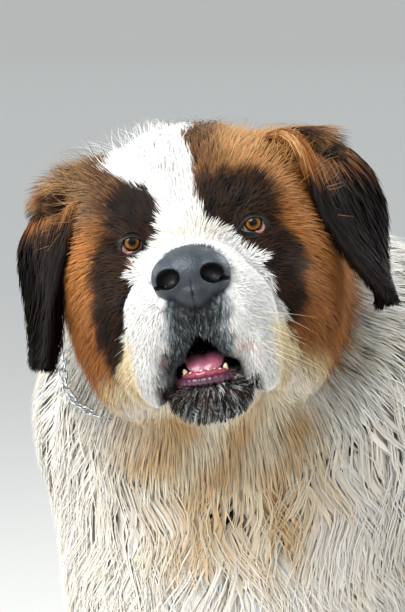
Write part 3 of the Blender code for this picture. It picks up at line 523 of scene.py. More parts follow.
def tube(rings, close=False, loop=False):
    """Points and faces of a skin through rings of equal size, each ring closed round itself.

    rings has the shape (rings, corners, 3). close fills the two ends with a point in their middles,
    and loop joins the last ring to the first.
    """
    count, sides = rings.shape[:2]
    points = rings.reshape(-1, 3)
    ring = np.arange(count if loop else count - 1)[:, None] * sides
    ahead = (ring + sides) % (count * sides)
    corner = np.arange(sides)[None]
    beside = (corner + 1) % sides
    faces = [np.stack((ring + corner, ring + beside, ahead + beside, ahead + corner), -1).reshape(-1, 4)]
    if close:
        points = np.vstack((points, rings[0].mean(0), rings[-1].mean(0)))
        first, last = len(points) - 2, len(points) - 1
        base = (count - 1) * sides
        corner, beside = corner[0], beside[0]
        faces.append(np.stack((beside, corner, np.full(sides, first)), -1))
        faces.append(np.stack((base + corner, base + beside, np.full(sides, last)), -1))
    return points, faces


def swept(line, radii, sides=8, flat=1.0, up=(0, 0, 1)):
    """Rings round a line: at each point a circle of that radius, flattened by flat along up."""
    line = np.asarray(line, float)
    way = unit(np.gradient(line, axis=0))
    across = unit(np.cross(way, np.broadcast_to(np.array(up, float), line.shape)))
    over = np.cross(across, way)
    turns = np.linspace(0, 2 * math.pi, sides, endpoint=False)[None, :, None]
    radii = np.broadcast_to(np.asarray(radii, float), len(line))[:, None, None]
    return line[:, None] + radii * (np.cos(turns) * across[:, None] + flat * np.sin(turns) * over[:, None])


def through(knots, shares):
    """A smooth curve through knots, a cubic between each two whose slope is half their neighbours' gap."""
    knots = np.asarray(knots, float)
    slopes = np.gradient(knots, axis=0)
    place = np.clip(shares, 0, 1) * (len(knots) - 1)
    low = np.minimum(place.astype(int), len(knots) - 2)
    t = (place - low)[:, None]
    a, b, da, db = knots[low], knots[low + 1], slopes[low], slopes[low + 1]
    return ((2 * t**3 - 3 * t**2 + 1) * a + (t**3 - 2 * t**2 + t) * da
            + (3 * t**2 - 2 * t**3) * b + (t**3 - t**2) * db)


def joined(name, parts):
    """One object from several (points, faces)."""
    points, faces, start = [], [], 0
    for some, lists in parts:
        points.append(some)
        faces += [np.asarray(one) + start for one in lists]
        start += len(some)
    return mesh_piece(name, np.vstack(points), faces)


def corners_of(mesh):
    """The mesh's points as an array, before the frame's shift."""
    found = np.empty(len(mesh.vertices) * 3, np.float32)
    mesh.vertices.foreach_get("co", found)
    return found.reshape(-1, 3).astype(float)


def applied(obj, kind, **settings):
    """The object with one modifier of this kind applied."""
    modifier = obj.modifiers.new(kind, kind)
    for setting, value in settings.items():
        setattr(modifier, setting, value)
    graph = bpy.context.evaluated_depsgraph_get()
    mesh = bpy.data.meshes.new_from_object(obj.evaluated_get(graph), depsgraph=graph)
    obj.modifiers.clear()
    obj.data = mesh
    return obj


def from_shape(name, shape):
    """An object made from a bmesh, which is used up."""
    mesh = bpy.data.meshes.new(name)
    shape.to_mesh(mesh)
    shape.free()
    obj = bpy.data.objects.new(name, mesh)
    bpy.context.scene.collection.objects.link(obj)
    return obj


def cut(obj, cutters):
    """The object less the cutters, which are removed."""
    for cutter in cutters:
        applied(obj, "BOOLEAN", operation="DIFFERENCE", object=cutter, solver="MANIFOLD")
        bpy.data.objects.remove(cutter)
    return obj


def egg_object(name, centre, radii, turn=None, level=4):
    """An ellipsoid on the head, in millimetres, before the frame's shift."""
    shape = bmesh.new()
    matrix = (Matrix.Translation(on_head(centre)) @ (HEAD.to_3x3() @ (turn or Matrix.Identity(3))).to_4x4()
              @ Matrix.Diagonal((*(np.array(radii) * MM), 1)))
    bmesh.ops.create_icosphere(shape, subdivisions=level, radius=1, matrix=matrix)
    return from_shape(name, shape)


# Skin

SKIN_VOXEL = 7.0 * MM


def relief(places):
    """How far the skin stands above or below the rounded forms, in metres, at places on the head."""
    x, y, z = places.T
    front = smooth(-85, -100, y)
    groove = -3.0 * np.exp(-((x - 0.5) / 2.4) ** 2) * front * smooth(-60, -66, z) * smooth(-96, -84, z)
    # Two soft folds over each brow and one below the eye, where loose skin gathers
    brow = 0.9 * np.sin((z - 0.5 * abs(x)) / 3.6) * smooth(34, 26, z) * smooth(12, 20, z)
    brow = brow * smooth(66, 50, abs(x)) * smooth(6, 16, abs(x)) * smooth(30, 10, y)
    bag = 1.6 * np.exp(-((z + 18 - 0.1 * abs(abs(x) - 50)) / 3.5) ** 2)
    bag = bag * smooth(24, 12, abs(abs(x) - 50)) * smooth(10, -5, y)
    fold = -2.2 * np.exp(-((abs(x) - 58 + 0.25 * (z + 60)) / 4.0) ** 2) * smooth(-36, -56, z)
    fold = fold * smooth(-136, -110, z) * smooth(30, 5, y) * smooth(-52, -30, y)
    return (groove + brow + bag + fold) * MM


def below(points):
    """How far points lie above the skin, which is negative in the mouth and the eye openings."""
    distance, _, coat, _ = read(points)
    return distance - relief(in_head(points)) - core(coat)


def bare_skin():
    """The forms fused by a voxel remesh, made finer over the head and finest over the face, then each
    point moved along the way out until it lies on the bare surface."""
    shape = bmesh.new()
    for form in FORMS:
        form.shape.add_to(shape)
    obj = applied(from_shape("skin", shape), "REMESH", mode="VOXEL", voxel_size=SKIN_VOXEL)
    shape = bmesh.new()
    shape.from_mesh(obj.data)
    for centre, span in (((0, 30, -30), 182), ((0, -56, -68), 84)):
        points = np.array([vert.co for vert in shape.verts])
        inside = np.linalg.norm((in_head(points) - centre) * (1, 0.8, 1), axis=1) < span
        shape.verts.ensure_lookup_table()
        shape.verts.index_update()
        edges = [edge for edge in shape.edges if inside[edge.verts[0].index] and inside[edge.verts[1].index]]
        bmesh.ops.subdivide_edges(shape, edges=edges, cuts=1, use_grid_fill=True)
    bmesh.ops.triangulate(shape, faces=shape.faces)
    shape.to_mesh(obj.data)
    shape.free()
    points = corners_of(obj.data)
    for _ in range(7):
        distance, out, coat, _ = read(points)
        points -= out * (distance - relief(in_head(points)) - core(coat))[:, None] * 0.9
    points[:, 2] = np.maximum(points[:, 2], 0.0008)
    obj.data.vertices.foreach_set("co", points.astype(np.float32).ravel())
    obj.data.update()
    return obj


def mouth_hollow():
    """The space behind the parted lips: a rounded wedge, its edge up, through four outlines front to back."""
    rings = []
    for y, top, half in ((-152, -80, 19), (-118, -80, 18.5), (-100, -81, 18.5), (-80, -83, 18.5), (-62, -86, 17),
                         (-46, -94, 13)):
        rise = np.linspace(0, 1, 13)
        width = half * np.clip(1 - rise**2.2, 0, 1)
        height = MOUTH_FLOOR + (top - MOUTH_FLOOR) * rise
        outline = np.r_[np.c_[width, height], np.c_[-width[-2::-1], height[-2::-1]]]
        rings.append(on_head(np.c_[outline[:, 0] - 1, np.full(len(outline), y), outline[:, 1]]))
    points, faces = tube(np.array(rings)[:, ::-1], close=True)
    obj = mesh_piece("mouth", points - SHIFT, faces)
    return applied(obj, "TRIANGULATE")


def skin():
    """The bare skin with the mouth and the eye openings cut out, its points, triangles and cut faces."""
    obj = bare_skin()
    openings = [egg_object("opening", (side * (EYE_X + PUPIL[side][0]), BALL_SET - 14, PUPIL[side][1] - 1),
                           (10.6, 17, 9.2)) for side in (-1, 1)]
    cut(obj, [mouth_hollow(), *openings])
    applied(obj, "TRIANGULATE")
    points = corners_of(obj.data)
    faces = np.empty(len(obj.data.polygons) * 3, np.int32)
    obj.data.polygons.foreach_get("vertices", faces)
    return obj, points, faces.reshape(-1, 3)


# Coat

LARGEST_PIECE = 190000        # triangles in one piece of the coat
PATCH = 0.003                 # side of a tuft's patch in its bake map
HAIR_WIDTH = 0.8 * MM         # drawn about ten times too coarse, so that it shows


def spread(points, faces, density, chance):
    """Roots along the list of faces, evenly spaced in area times density with a random part."""
    a, b, c = (points[faces[:, i]] for i in range(3))
    area = 0.5 * np.linalg.norm(np.cross(b - a, c - a), axis=1)
    total = np.cumsum(area * density((a + b + c) / 3))
    marks = np.arange(int(total[-1])) + chance.random(int(total[-1]))
    face = np.minimum(np.searchsorted(total, marks), len(faces) - 1)
    u, v = chance.random(len(face)), chance.random(len(face))
    over = u + v > 1
    u[over], v[over] = 1 - u[over], 1 - v[over]
    return a[face] + (b - a)[face] * u[:, None] + (c - a)[face] * v[:, None]


def comb(roots, length, rise, rings, clump, pull, sway, chance, curl=0.0, wave=0.07, lie_to=None, arch=0.75):
    """Walks from each root along the lie, and returns the points, ways out and ways along.

    At each step the point is set at its own height over the bare surface: under it at the root, and at
    rise times the coat's depth at the tip, by the power arch of the way along, so a low arch lies flat.
    Hairs of one clump lean to its centre and sway together.
    """
    centre, number = gathered(roots, clump, 5.0)
    lean = sway * (swell(roots, 0.08, 51) + 0.5 * (2 * number - 1)) + chance.normal(0, 0.07, len(roots))
    at, path = roots.copy(), []
    for ring in range(rings + 1):
        share = ring / rings
        distance, out, coat, lie = read(at)
        base = core(coat)
        height = base + (-1.2 * MM if ring == 0 else (rise * coat - base) * share**arch)
        at = at + out * (height - distance)[:, None]
        if lie_to is not None:
            lie = lie_to
        along = unit(lie - out * (lie * out).sum(1)[:, None])
        turn = lean + curl * np.sin(2 * math.pi * (number * 3 + share * length / wave))
        way = unit(along + np.cross(out, along) * turn[:, None])
        to_centre = centre - roots
        to_centre -= out * (to_centre * out).sum(1)[:, None]
        path.append((at, out, way))
        at = at + way * (length / rings)[:, None] + to_centre * (pull * share / rings * 1.6)
    return path, number


def unwrap(points):
    """The skin's own shape laid flat: longitude and latitude about the middle, from 0.01 to 0.99."""
    way = unit(points - (points.min(0) + points.max(0)) / 2)
    across = np.arctan2(way[:, 0], -way[:, 1]) / (2 * math.pi) + 0.5
    return 0.01 + 0.98 * np.c_[across, np.arccos(np.clip(way[:, 2], -1, 1)) / math.pi]


def tufts(name, path, width, colours, flat=0.22, taper=0.85):
    """A piece of the coat: each tuft has a three-sided section at each step and ends in a point.

    A section's corners lie half a width to either side of the middle line and flat times the width
    above it. Strand counts the hairs across a tuft, from a start of the tuft's own. Each point is
    shaded as the coat's own surface there, leaning a little to its side, as soft hair is.
    """
    rings, count = len(path) - 1, len(path[0][0])
    layers, shading = [], []
    for step, (at, out, way) in enumerate(path[:-1]):
        share = step / rings
        across = np.cross(way, out)
        half = (0.5 * width * (1 - share**2 * taper))[:, None]
        layers.append(np.stack((at - across * half, at + out * half * 2 * flat, at + across * half), 1))
        shading.append(unit(np.stack((out - 0.28 * across, out, out + 0.28 * across), 1)))
    body = np.concatenate(layers + [path[-1][0][:, None]], 1)
    shading = np.concatenate(shading + [path[-1][1][:, None]], 1)
    body = np.clip(body, CAD_LOW - SHIFT + 0.0006, CAD_HIGH - SHIFT - 0.0006)
    own = 3 * rings + 1
    start = (np.arange(count) * own)[:, None, None]
    sides = [(3 * r + i, 3 * r + (i + 1) % 3, 3 * r + 3 + (i + 1) % 3, 3 * r + 3 + i)
             for r in range(rings - 1) for i in range(3)]
    last = 3 * (rings - 1)
    tips = [(last + i, last + (i + 1) % 3, own - 1) for i in range(3)] + [(2, 1, 0)]
    faces = [(start + np.array(some)[None]).reshape(-1, len(some[0])) for some in (sides, tips)]
    # Painted shade and light along each tuft: darker towards its root, deep in the coat, and a little lighter at its
    # tip
    shade = np.concatenate([np.full(3, 0.86 + 0.14 * (r / rings) ** 0.7) for r in range(rings)] + [[1.04]])
    paints = np.clip(colours[:, None] * shade[None, :, None], 0, 1)
    piece = mesh_piece(name, body.reshape(-1, 3), faces, paints.reshape(-1, 3))
    piece.data.normals_split_custom_set_from_vertices(shading.reshape(-1, 3))
    across = np.array([(0, 0.5, 1)[i % 3] for i in range(own - 1)] + [0.5])
    strand = across[None] * width[:, None] / HAIR_WIDTH + 7.3 * (np.arange(count) % 997)[:, None]
    layer = piece.data.attributes.new("Strand", "FLOAT", "POINT")
    layer.data.foreach_set("value", strand.astype(np.float32).ravel())

    # The bake map: each tuft's patch lies at its root's place on the unwrap
    place = unwrap(path[0][0])
    within = np.array([(i / 2, r / rings) for r in range(rings) for i in range(3)] + [(0.5, 1)]) * PATCH
    patch = (place[:, None] + within[None] - PATCH / 2).reshape(-1, 2)
    corner = np.empty(len(piece.data.loops), np.int32)
    piece.data.loops.foreach_get("vertex_index", corner)
    layer = piece.data.uv_layers.new(name="OFBake")
    layer.data.foreach_set("uv", patch[corner].astype(np.float32).ravel())
    return piece


def coat_pieces(name, path, width, colours, middle, flat=0.22, taper=0.85):
    """Tufts in sectors round a middle, each small enough for one piece."""
    roots = path[0][0]
    order = np.argsort(np.arctan2(roots[:, 0] - middle[0], -(roots[:, 1] - middle[1])))
    triangles = len(order) * (6 * (len(path) - 1) - 2)
    found = []
    for number, some in enumerate(np.array_split(order, math.ceil(triangles / LARGEST_PIECE))):
        part = [tuple(rows[some] for rows in step) for step in path]
        found.append(tufts(f"{name}_{number + 1}", part, width[some], colours[some], flat, taper))
    return found


def hairless(places):
    """True where no hair grows, under the nose."""
    x, y, z = places.T
    return 1 - np.sqrt((x / 31) ** 2 + ((y + 118) / 26) ** 2 + ((z + 45) / 27) ** 2) > 0


def head_share(places):
    """1 on the head and 0 on the neck and body, by distance from the skull's middle."""
    x, y, z = places.T
    return smooth(178, 150, np.sqrt(x * x + (0.9 * (y - 38)) ** 2 + (z + 26) ** 2))


def varied(colours, number, chance, amount=0.10):
    """Colours made lighter and darker from clump to clump and hair to hair."""
    factor = 1 + 0.6 * amount * (2 * number - 1) + chance.normal(0, amount, len(colours))
    warm = chance.normal(0, 0.03, len(colours))
    return np.clip(colours * np.clip(factor, 0.6, 1.35)[:, None] * (1 + warm[:, None] * (1, 0, -1)), 0, 1)


def head_coat(points, faces, chance):
    """Short hair over the head, shortest on the muzzle and longest on the cheeks and the crown."""

    def density(centres):
        places = in_head(centres)
        muzzle = smooth(-5, -35, places[:, 1]) * smooth(-150, -130, places[:, 2])
        return head_share(places) * (196e3 + 275e3 * muzzle) * ~hairless(places)

    roots = spread(points, faces, density, chance)
    roots = roots[below(roots) > -0.8 * MM]
    _, _, coat, _ = read(roots)
    count = len(roots)
    short = 1 - 0.42 * smooth(26, 4, in_head(roots)[:, 1])
    length = np.clip(coat * 1.9 * short, 5 * MM, 28 * MM) * chance.uniform(0.75, 1.2, count)
    rise = chance.uniform(0.6, 1.0, count) * (0.55 + 0.45 * short)
    path, number = comb(roots, length, rise, 2, 0.008, 0.18, 0.16, chance)
    colours = varied(markings(roots), number, chance, 0.13)
    width = (0.62 + 0.05 * coat / MM) * MM * chance.uniform(0.8, 1.25, count)
    return coat_pieces("coat_head", path, width, colours, on_head((0, 50, 0)), 0.28)


def body_coat(points, faces, chance):
    """The coat of the neck, trunk, legs and tail: broad flat locks with fine hair over them, wavy at the throat."""

    def density(centres):
        _, _, coat, _ = read(centres)
        thick = smooth(0.012, 0.04, coat)
        near = smooth(0.62, 0.30, np.linalg.norm(in_head(centres), axis=1) * MM)
        return (1 - head_share(in_head(centres))) * (1.0 - 0.72 * thick + 0.62 * near * thick)

    found = []
    for name, most, broad, widest, flat, taper, rings, low, high, arch in (
            ("coat_under", 10e3, 0.13, 7, 0.08, 0.5, 2, 0.56, 0.72, 0.30),
            ("coat_locks", 17e3, 0.16, 8.5, 0.08, 0.5, 2, 0.72, 0.84, 0.30),
            ("coat_hairs", 36e3, 0.038, 3, 0.25, 0.85, 3, 0.84, 0.98, 0.42)):
        roots = spread(points, faces, lambda centres, most=most: most * density(centres), chance)
        throat = smooth(0.20, 0.10, np.linalg.norm(roots - (0.03, -0.31, 0.67), axis=1)) > 0.2
        for part, some, steps in ((name, roots[~throat], rings), (f"{name}_throat", roots[throat], 5)):
            _, _, coat, _ = read(some)
            count = len(some)
            length = np.clip(coat * 1.8, 9 * MM, 82 * MM) * chance.uniform(0.7, 1.2, count)
            rise = chance.uniform(low, high, count)
            size, curl = (0.034, 0.6) if steps == 5 else (0.030, 0.12)
            path, number = comb(some, length, rise, steps, size, 0.15, 0.22, chance, curl, 0.10, arch=arch)
            colours = varied(markings(some), number, chance, 0.035)
            width = np.clip(coat * broad, 1.2 * MM, widest * MM) * chance.uniform(0.7, 1.3, count)
            # A tuft that folds back on itself in a crease is left out
            ahead = [((after[0] - before[0]) * before[2]).sum(1) for before, after in zip(path, path[1:])]
            turned = [(before[1] * after[1]).sum(1) for before, after in zip(path, path[1:])]
            whole = (np.min(ahead, 0) > 0.35 * length / steps) & (np.min(turned, 0) > 0.45)
            path = [tuple(rows[whole] for rows in step) for step in path]
            found += coat_pieces(part, path, width[whole], colours[whole], (0, 0.05), flat, taper)
    return found


def wisps(points, faces, chance):
    """Stray long hairs that stand off the crown, the temples and the backs of the cheeks."""

    def density(centres):
        x, y, z = in_head(centres).T
        crown = smooth(58, 84, z) * smooth(150, 110, y)
        temple = smooth(56, 74, abs(x)) * smooth(0, 30, z) * smooth(0, 20, y) * smooth(58, 40, y)
        return 30e3 * crown + 120e3 * temple

    roots = spread(points, faces, density, chance)
    count = len(roots)
    places = in_head(roots)
    away = HEAD_AXES @ np.array((0, 0.35, 0.5))
    side = np.sign(places[:, :1]) * HEAD_AXES[:, 0] * smooth(20, 90, abs(places[:, 0]))[:, None]
    length = chance.uniform(16, 44, count) * MM
    rise = chance.uniform(1.0, 2.8, count)
    path, number = comb(roots, length, rise, 3, 0.02, 0.3, 0.4, chance, curl=0.4, wave=0.05,
                        lie_to=unit(side + away + chance.normal(0, 0.25, (count, 3))))
    colours = varied(markings(roots), number, chance, 0.15)
    return coat_pieces("coat_wisps", path, MM * chance.uniform(0.35, 0.6, count), colours, (0, 0), 0.4)


# Materials


def node(tree, kind, links=(), **settings):
    """A node with its settings, and its inputs set to values or linked from other nodes' outputs."""
    made = tree.nodes.new(kind)
    for setting, value in settings.items():
        setattr(made, setting, value)
    for name, value in dict(links).items():
        if isinstance(value, bpy.types.NodeSocket):
            tree.links.new(value, made.inputs[name])
        else:
            made.inputs[name].default_value = value
    return made


def finish(name, **values):
    """A new material, its nodes and its shader, with constants set on the shader's own sockets."""
    material = bpy.data.materials.new(name)
    material.use_nodes = True
    tree = material.node_tree
    shader = tree.nodes["Principled BSDF"]
    for socket, value in values.items():
        shader.inputs[socket.replace("_", " ")].default_value = value
    return material, tree, shader


def rgb(code):
    return (*colour(code), 1)


def hair():
    """Dog hair: a dry, faintly glossy fibre. Strand splits a tuft's width into hairs of their own tone."""
    material, tree, shader = finish("dog_hair", Roughness=0.62, Specular_IOR_Level=0.16)
    coat = node(tree, "ShaderNodeVertexColor", layer_name="Coat")
    strand = node(tree, "ShaderNodeAttribute", attribute_name="Strand")
    split = node(tree, "ShaderNodeTexNoise", {"W": strand.outputs["Fac"], "Scale": 1.0, "Detail": 1.0},
                 noise_dimensions="1D")
    shade = node(tree, "ShaderNodeMapRange", {"Value": split.outputs["Fac"], "From Min": 0.25, "From Max": 0.75,
                                              "To Min": 0.80, "To Max": 1.09})
    tone = node(tree, "ShaderNodeVectorMath", {0: coat.outputs["Color"]}, operation="SCALE")
    tree.links.new(shade.outputs["Result"], tone.inputs["Scale"])
    tree.links.new(tone.outputs["Vector"], shader.inputs["Base Color"])
    return material


def hide():
    """Skin under the coat: matt, in the coat's own colours, a little darker as painted shade under the hair, with a
    fine nap.
    """
    material, tree, shader = finish("dog_skin", Roughness=0.75, Specular_IOR_Level=0.2)
    coat = node(tree, "ShaderNodeVertexColor", layer_name="Coat")
    place = node(tree, "ShaderNodeTexCoord")
    nap = node(tree, "ShaderNodeTexNoise", {"Vector": place.outputs["Object"], "Scale": 420.0, "Detail": 4.0})
    # Painted shade under the coat: the coat's colours darkened by up to a fifth, in the nap's pattern
    dark = node(tree, "ShaderNodeMapRange", {"Value": nap.outputs["Fac"], "To Min": 0.82, "To Max": 1.0})
    tone = node(tree, "ShaderNodeVectorMath", {0: coat.outputs["Color"]}, operation="SCALE")
    tree.links.new(dark.outputs["Result"], tone.inputs["Scale"])
    bump = node(tree, "ShaderNodeBump", {"Height": nap.outputs["Fac"], "Strength": 0.6, "Distance": 0.001})
    tree.links.new(tone.outputs["Vector"], shader.inputs["Base Color"])
    tree.links.new(bump.outputs["Normal"], shader.inputs["Normal"])
    return material


def wet(name, dark, light, size, roughness, bumpy=0.5):
    """Bare wet or damp skin: two tones in patches of this size in metres, finely creased, under a thin film."""
    material, tree, shader = finish(name, Roughness=roughness, Coat_Weight=0.5, Coat_Roughness=0.15,
                                    Subsurface_Weight=0.08, Subsurface_Scale=0.004)
    place = node(tree, "ShaderNodeTexCoord")
    patch = node(tree, "ShaderNodeTexNoise", {"Vector": place.outputs["Object"], "Scale": 1 / size, "Detail": 5.0})
    blend = node(tree, "ShaderNodeMix", {"Factor": patch.outputs["Fac"], "A": rgb(dark), "B": rgb(light)},
                 data_type="RGBA")
    fine = node(tree, "ShaderNodeTexNoise", {"Vector": place.outputs["Object"], "Scale": 700.0, "Detail": 3.0})
    bump = node(tree, "ShaderNodeBump", {"Height": fine.outputs["Fac"], "Strength": bumpy, "Distance": 0.0006})
    tree.links.new(blend.outputs["Result"], shader.inputs["Base Color"])
    tree.links.new(bump.outputs["Normal"], shader.inputs["Normal"])
    return material


def dress(obj, material, slot, *replaced):
    """The piece rides on the model, takes this material and stands for CAD nodes; slot is not used."""
    obj.data.materials.clear()
    obj.data.materials.append(material)
    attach(obj, "root")
    if replaced:
        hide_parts(*replaced)
    return obj


# Eyes


def eyeball(side):
    """A ball with a bulging cornea, a grid of longitude and latitude round the way the eye looks.

    The pattern map gives each point its offset from the pupil's middle in units of the ball's radius.
    """
    turns = np.linspace(0, 2 * math.pi, 48, endpoint=False)
    tilts = np.linspace(0, math.pi, 40)[1:-1]
    aside, up = PUPIL[side]
    gaze = unit(np.array([side * aside / EYE_RADIUS, -1.0, up / EYE_RADIUS]))
    across = unit(np.cross(gaze, (0, 0, 1.0)))
    over = np.cross(across, gaze)
    bulge = 1 + 0.05 * np.exp(-((tilts / 0.42) ** 4))
    radius = EYE_RADIUS * bulge
    rings = (np.array((side * EYE_X, BALL_SET, 0))
             + radius[:, None, None] * (np.cos(tilts)[:, None, None] * gaze
                                        + np.sin(tilts)[:, None, None]
                                        * (np.cos(turns)[None, :, None] * across
                                           + np.sin(turns)[None, :, None] * over)))
    points, faces = tube(on_head(rings), close=True)
    obj = mesh_piece("right_eyeball" if side < 0 else "left_eyeball", points, faces)
    local = in_head(corners_of(obj.data) - SHIFT) - (side * EYE_X, BALL_SET, 0)
    flat = unit(local)
    pattern = np.c_[flat @ across, flat @ over]
    behind = flat @ gaze < 0
    pattern[behind] = unit(pattern[behind]) * 1.2
    corner = np.empty(len(obj.data.loops), np.int32)
    obj.data.loops.foreach_get("vertex_index", corner)
    layer = obj.data.uv_layers.new(name="Iris")
    layer.data.foreach_set("uv", pattern[corner].astype(np.float32).ravel())
    return obj


def eye_surface():
    """The eye: amber iris, darker towards its rim, black pupil, pinkish white, under clear gloss, with painted shade
    darkening it towards the top under the upper lid.
    """
    material, tree, shader = finish("dog_eye", Roughness=0.06, IOR=1.376)
    place = node(tree, "ShaderNodeUVMap", uv_map="Iris")
    centre = node(tree, "ShaderNodeVectorMath", {0: place.outputs["UV"]}, operation="LENGTH")
    rings = node(tree, "ShaderNodeValToRGB", {"Fac": centre.outputs["Value"]})
    stops = ((0.0, "040303"), (0.20, "050303"), (0.24, "3E2206"), (0.31, "7A4C0C"), (0.41, "94601A"),
             (0.46, "3A2208"), (0.50, "0A0606"), (0.56, "0E0908"), (0.62, "8D7A6E"), (1.0, "B79C93"))
    ramp = rings.color_ramp
    ramp.elements[0].position, ramp.elements[0].color = stops[0][0], rgb(stops[0][1])
    ramp.elements[1].position, ramp.elements[1].color = stops[-1][0], rgb(stops[-1][1])
    for position, code in stops[1:-1]:
        ramp.elements.new(position).color = rgb(code)
    spokes = node(tree, "ShaderNodeTexNoise", {"Vector": place.outputs["UV"], "Scale": 14.0, "Detail": 4.0})
    shade = node(tree, "ShaderNodeMapRange", {"Value": spokes.outputs["Fac"], "To Min": 0.7, "To Max": 1.35})
    parts = node(tree, "ShaderNodeSeparateXYZ", {"Vector": place.outputs["UV"]})
    # Painted shade: the eye's colour darkened towards its top, where the upper lid shades it
    lid_shade = node(tree, "ShaderNodeMapRange", {"Value": parts.outputs["Y"], "From Min": 0.02, "From Max": 0.40,
                                               "To Min": 1.0, "To Max": 0.12})
    both = node(tree, "ShaderNodeMath", {0: shade.outputs["Result"], 1: lid_shade.outputs["Result"]},
                operation="MULTIPLY")
    tone = node(tree, "ShaderNodeVectorMath", {0: rings.outputs["Color"]}, operation="SCALE")
    tree.links.new(both.outputs["Value"], tone.inputs["Scale"])
    tree.links.new(tone.outputs["Vector"], shader.inputs["Base Color"])
    return material


# The lids' outline in millimetres from the pupil, outwards and up: a droop opens its outer lower corner
LIDS = [(8.4, -0.6), (6.4, 2.5), (2.2, 3.9), (-2.6, 3.6), (-6.6, 1.0), (-9.2, -2.8), (-6.4, -5.4), (-1.2, -7.0),
        (3.6, -8.8), (7.8, -8.0), (9.2, -4.2), (8.4, -0.6)]
PUPIL = {-1: (-2.9, -1.8), 1: (-0.2, -0.6)}   # each eye's own, outwards and up from the ball's middle


def lid_line(side, count):
    """Places outwards and up from the ball's middle round the lids' outline, anticlockwise from outside."""
    line = through(LIDS, np.arange(count) / count)
    return line + PUPIL[side]


def skin_depth(x, z):
    """How far back the bare skin lies at (x, z) on the head's front: steps by the distance that is left."""
    y = np.full(len(x), -60.0)
    for _ in range(30):
        distance, _, _, _ = read(on_head(np.c_[x, y, z]))
        y += 0.8 * np.clip(distance / MM, -6, 6)
    return y


def ball_depth(u, w, proud):
    """How far back a ball that is larger than the eye's by proud lies, at (u, w) from its middle."""
    return BALL_SET - np.sqrt(np.clip((EYE_RADIUS * 1.03 + proud) ** 2 - u * u - w * w, 0.5, None))


def lid_ring(side):
    """Both lids of an eye: rings that leave the ball at the lids' edge and run out under the skin.

    Each ring is the outline made wider. Its depth eases from the ball's own surface, one lid's
    thickness further out, to the skin's, and always stays in front of the ball.
    """
    steps = ((0.97, 0.0, -0.7), (1.0, 0.0, 1.2), (1.06, 0.0, 2.0), (1.15, 0.2, 2.2), (1.28, 0.6, 1.6),
             (1.45, 1.0, 0.6), (1.7, 1.0, -0.8), (2.0, 1.0, -2.0))
    line, rings = lid_line(side, 64), []
    for scale, share, proud in steps:
        u, w = (PUPIL[side] + (line - PUPIL[side]) * scale).T
        skin_y = skin_depth(side * (EYE_X + u), w) - np.clip(proud, -2.0, 0.8)
        y = np.minimum(ball_depth(u, w, proud) * (1 - share) + skin_y * share,
                       np.where(np.hypot(u, w) < EYE_RADIUS, ball_depth(u, w, min(proud, 0.5)), 99))
        rings.append(np.c_[side * (EYE_X + u), y, w])
    rings = on_head(np.array(rings))
    points, faces = tube(rings if side > 0 else rings[:, ::-1])
    return mesh_piece("right_lids" if side < 0 else "left_lids", points, faces)


def haw(side):
    """The pink inner lid that shows in the droop below the eye: a crescent tube against the ball."""
    count = 24
    line = PUPIL[side] + (through(LIDS, np.linspace(0.68, 0.93, count)) * 0.88)
    y = ball_depth(*line.T, 0.1)
    radii = 1.6 * np.sin(np.linspace(0.15, math.pi - 0.15, count)) ** 0.7
    rings = swept(np.c_[side * (EYE_X + line[:, 0]), y, line[:, 1]], radii, 10, flat=0.55, up=(0, -1, 0))
    points, faces = tube(on_head(rings), close=True)
    return mesh_piece("right_haw" if side < 0 else "left_haw", points, faces)


# Nose and mouth


def nose_leather():
    """The nose: lumps fused and smoothed, with comma-shaped nostrils, their slits and the middle groove."""
    shape = bmesh.new()
    for x, y, z, radii in ((0, -111, -38, (25, 21, 20)), (15.5, -115, -42, (15, 17, 17)),
                           (-15.5, -115, -42, (15, 17, 17)), (0, -114, -54, (17, 15, 13))):
        matrix = HEAD @ Matrix.Translation(Vector((x, y, z)) * MM) @ Matrix.Diagonal(
            (*(r * MM for r in radii), 1))
        bmesh.ops.create_icosphere(shape, subdivisions=4, radius=1, matrix=matrix)
    obj = applied(from_shape("nose_leather", shape), "REMESH", mode="VOXEL", voxel_size=1.0 * MM)
    applied(obj, "SMOOTH", factor=0.5, iterations=24)
    cutters = []
    for side in (-1, 1):
        own = Matrix.Rotation(side * 0.5, 3, "Z") @ Matrix.Rotation(side * 0.35, 3, "Y")
        cutters.append(egg_object("nostril", (side * 17.0, -128, -43), (9.6, 11, 7.8), own, 3))
        cutters.append(egg_object("slit", (side * 25, -123, -48), (6, 7, 1.8), None, 3))
    cutters.append(egg_object("groove", (0, -131, -56), (0.9, 7, 17), None, 3))
    cut(obj, cutters)
    applied(obj, "REMESH", mode="VOXEL", voxel_size=0.7 * MM)
    applied(obj, "SMOOTH", factor=0.5, iterations=4)
    x, y, z = in_head(corners_of(obj.data)).T
    # Painted shade for the material: full inside the nostrils, most in the middle groove, and about a third down the
    # front below the top
    deep = smooth(-129, -122, y) * smooth(1.15, 0.9, np.sqrt(((abs(x) - 17) / 10) ** 2 + ((z + 43) / 8.4) ** 2))
    groove = smooth(2.2, 0.6, abs(x)) * smooth(-47, -51, z)
    layer = obj.data.attributes.new("Depth", "FLOAT", "POINT")
    front = 0.35 * smooth(-32, -47, z)
    layer.data.foreach_set("value", np.maximum(np.maximum(deep, 0.8 * groove), front).astype(np.float32))
    return obj


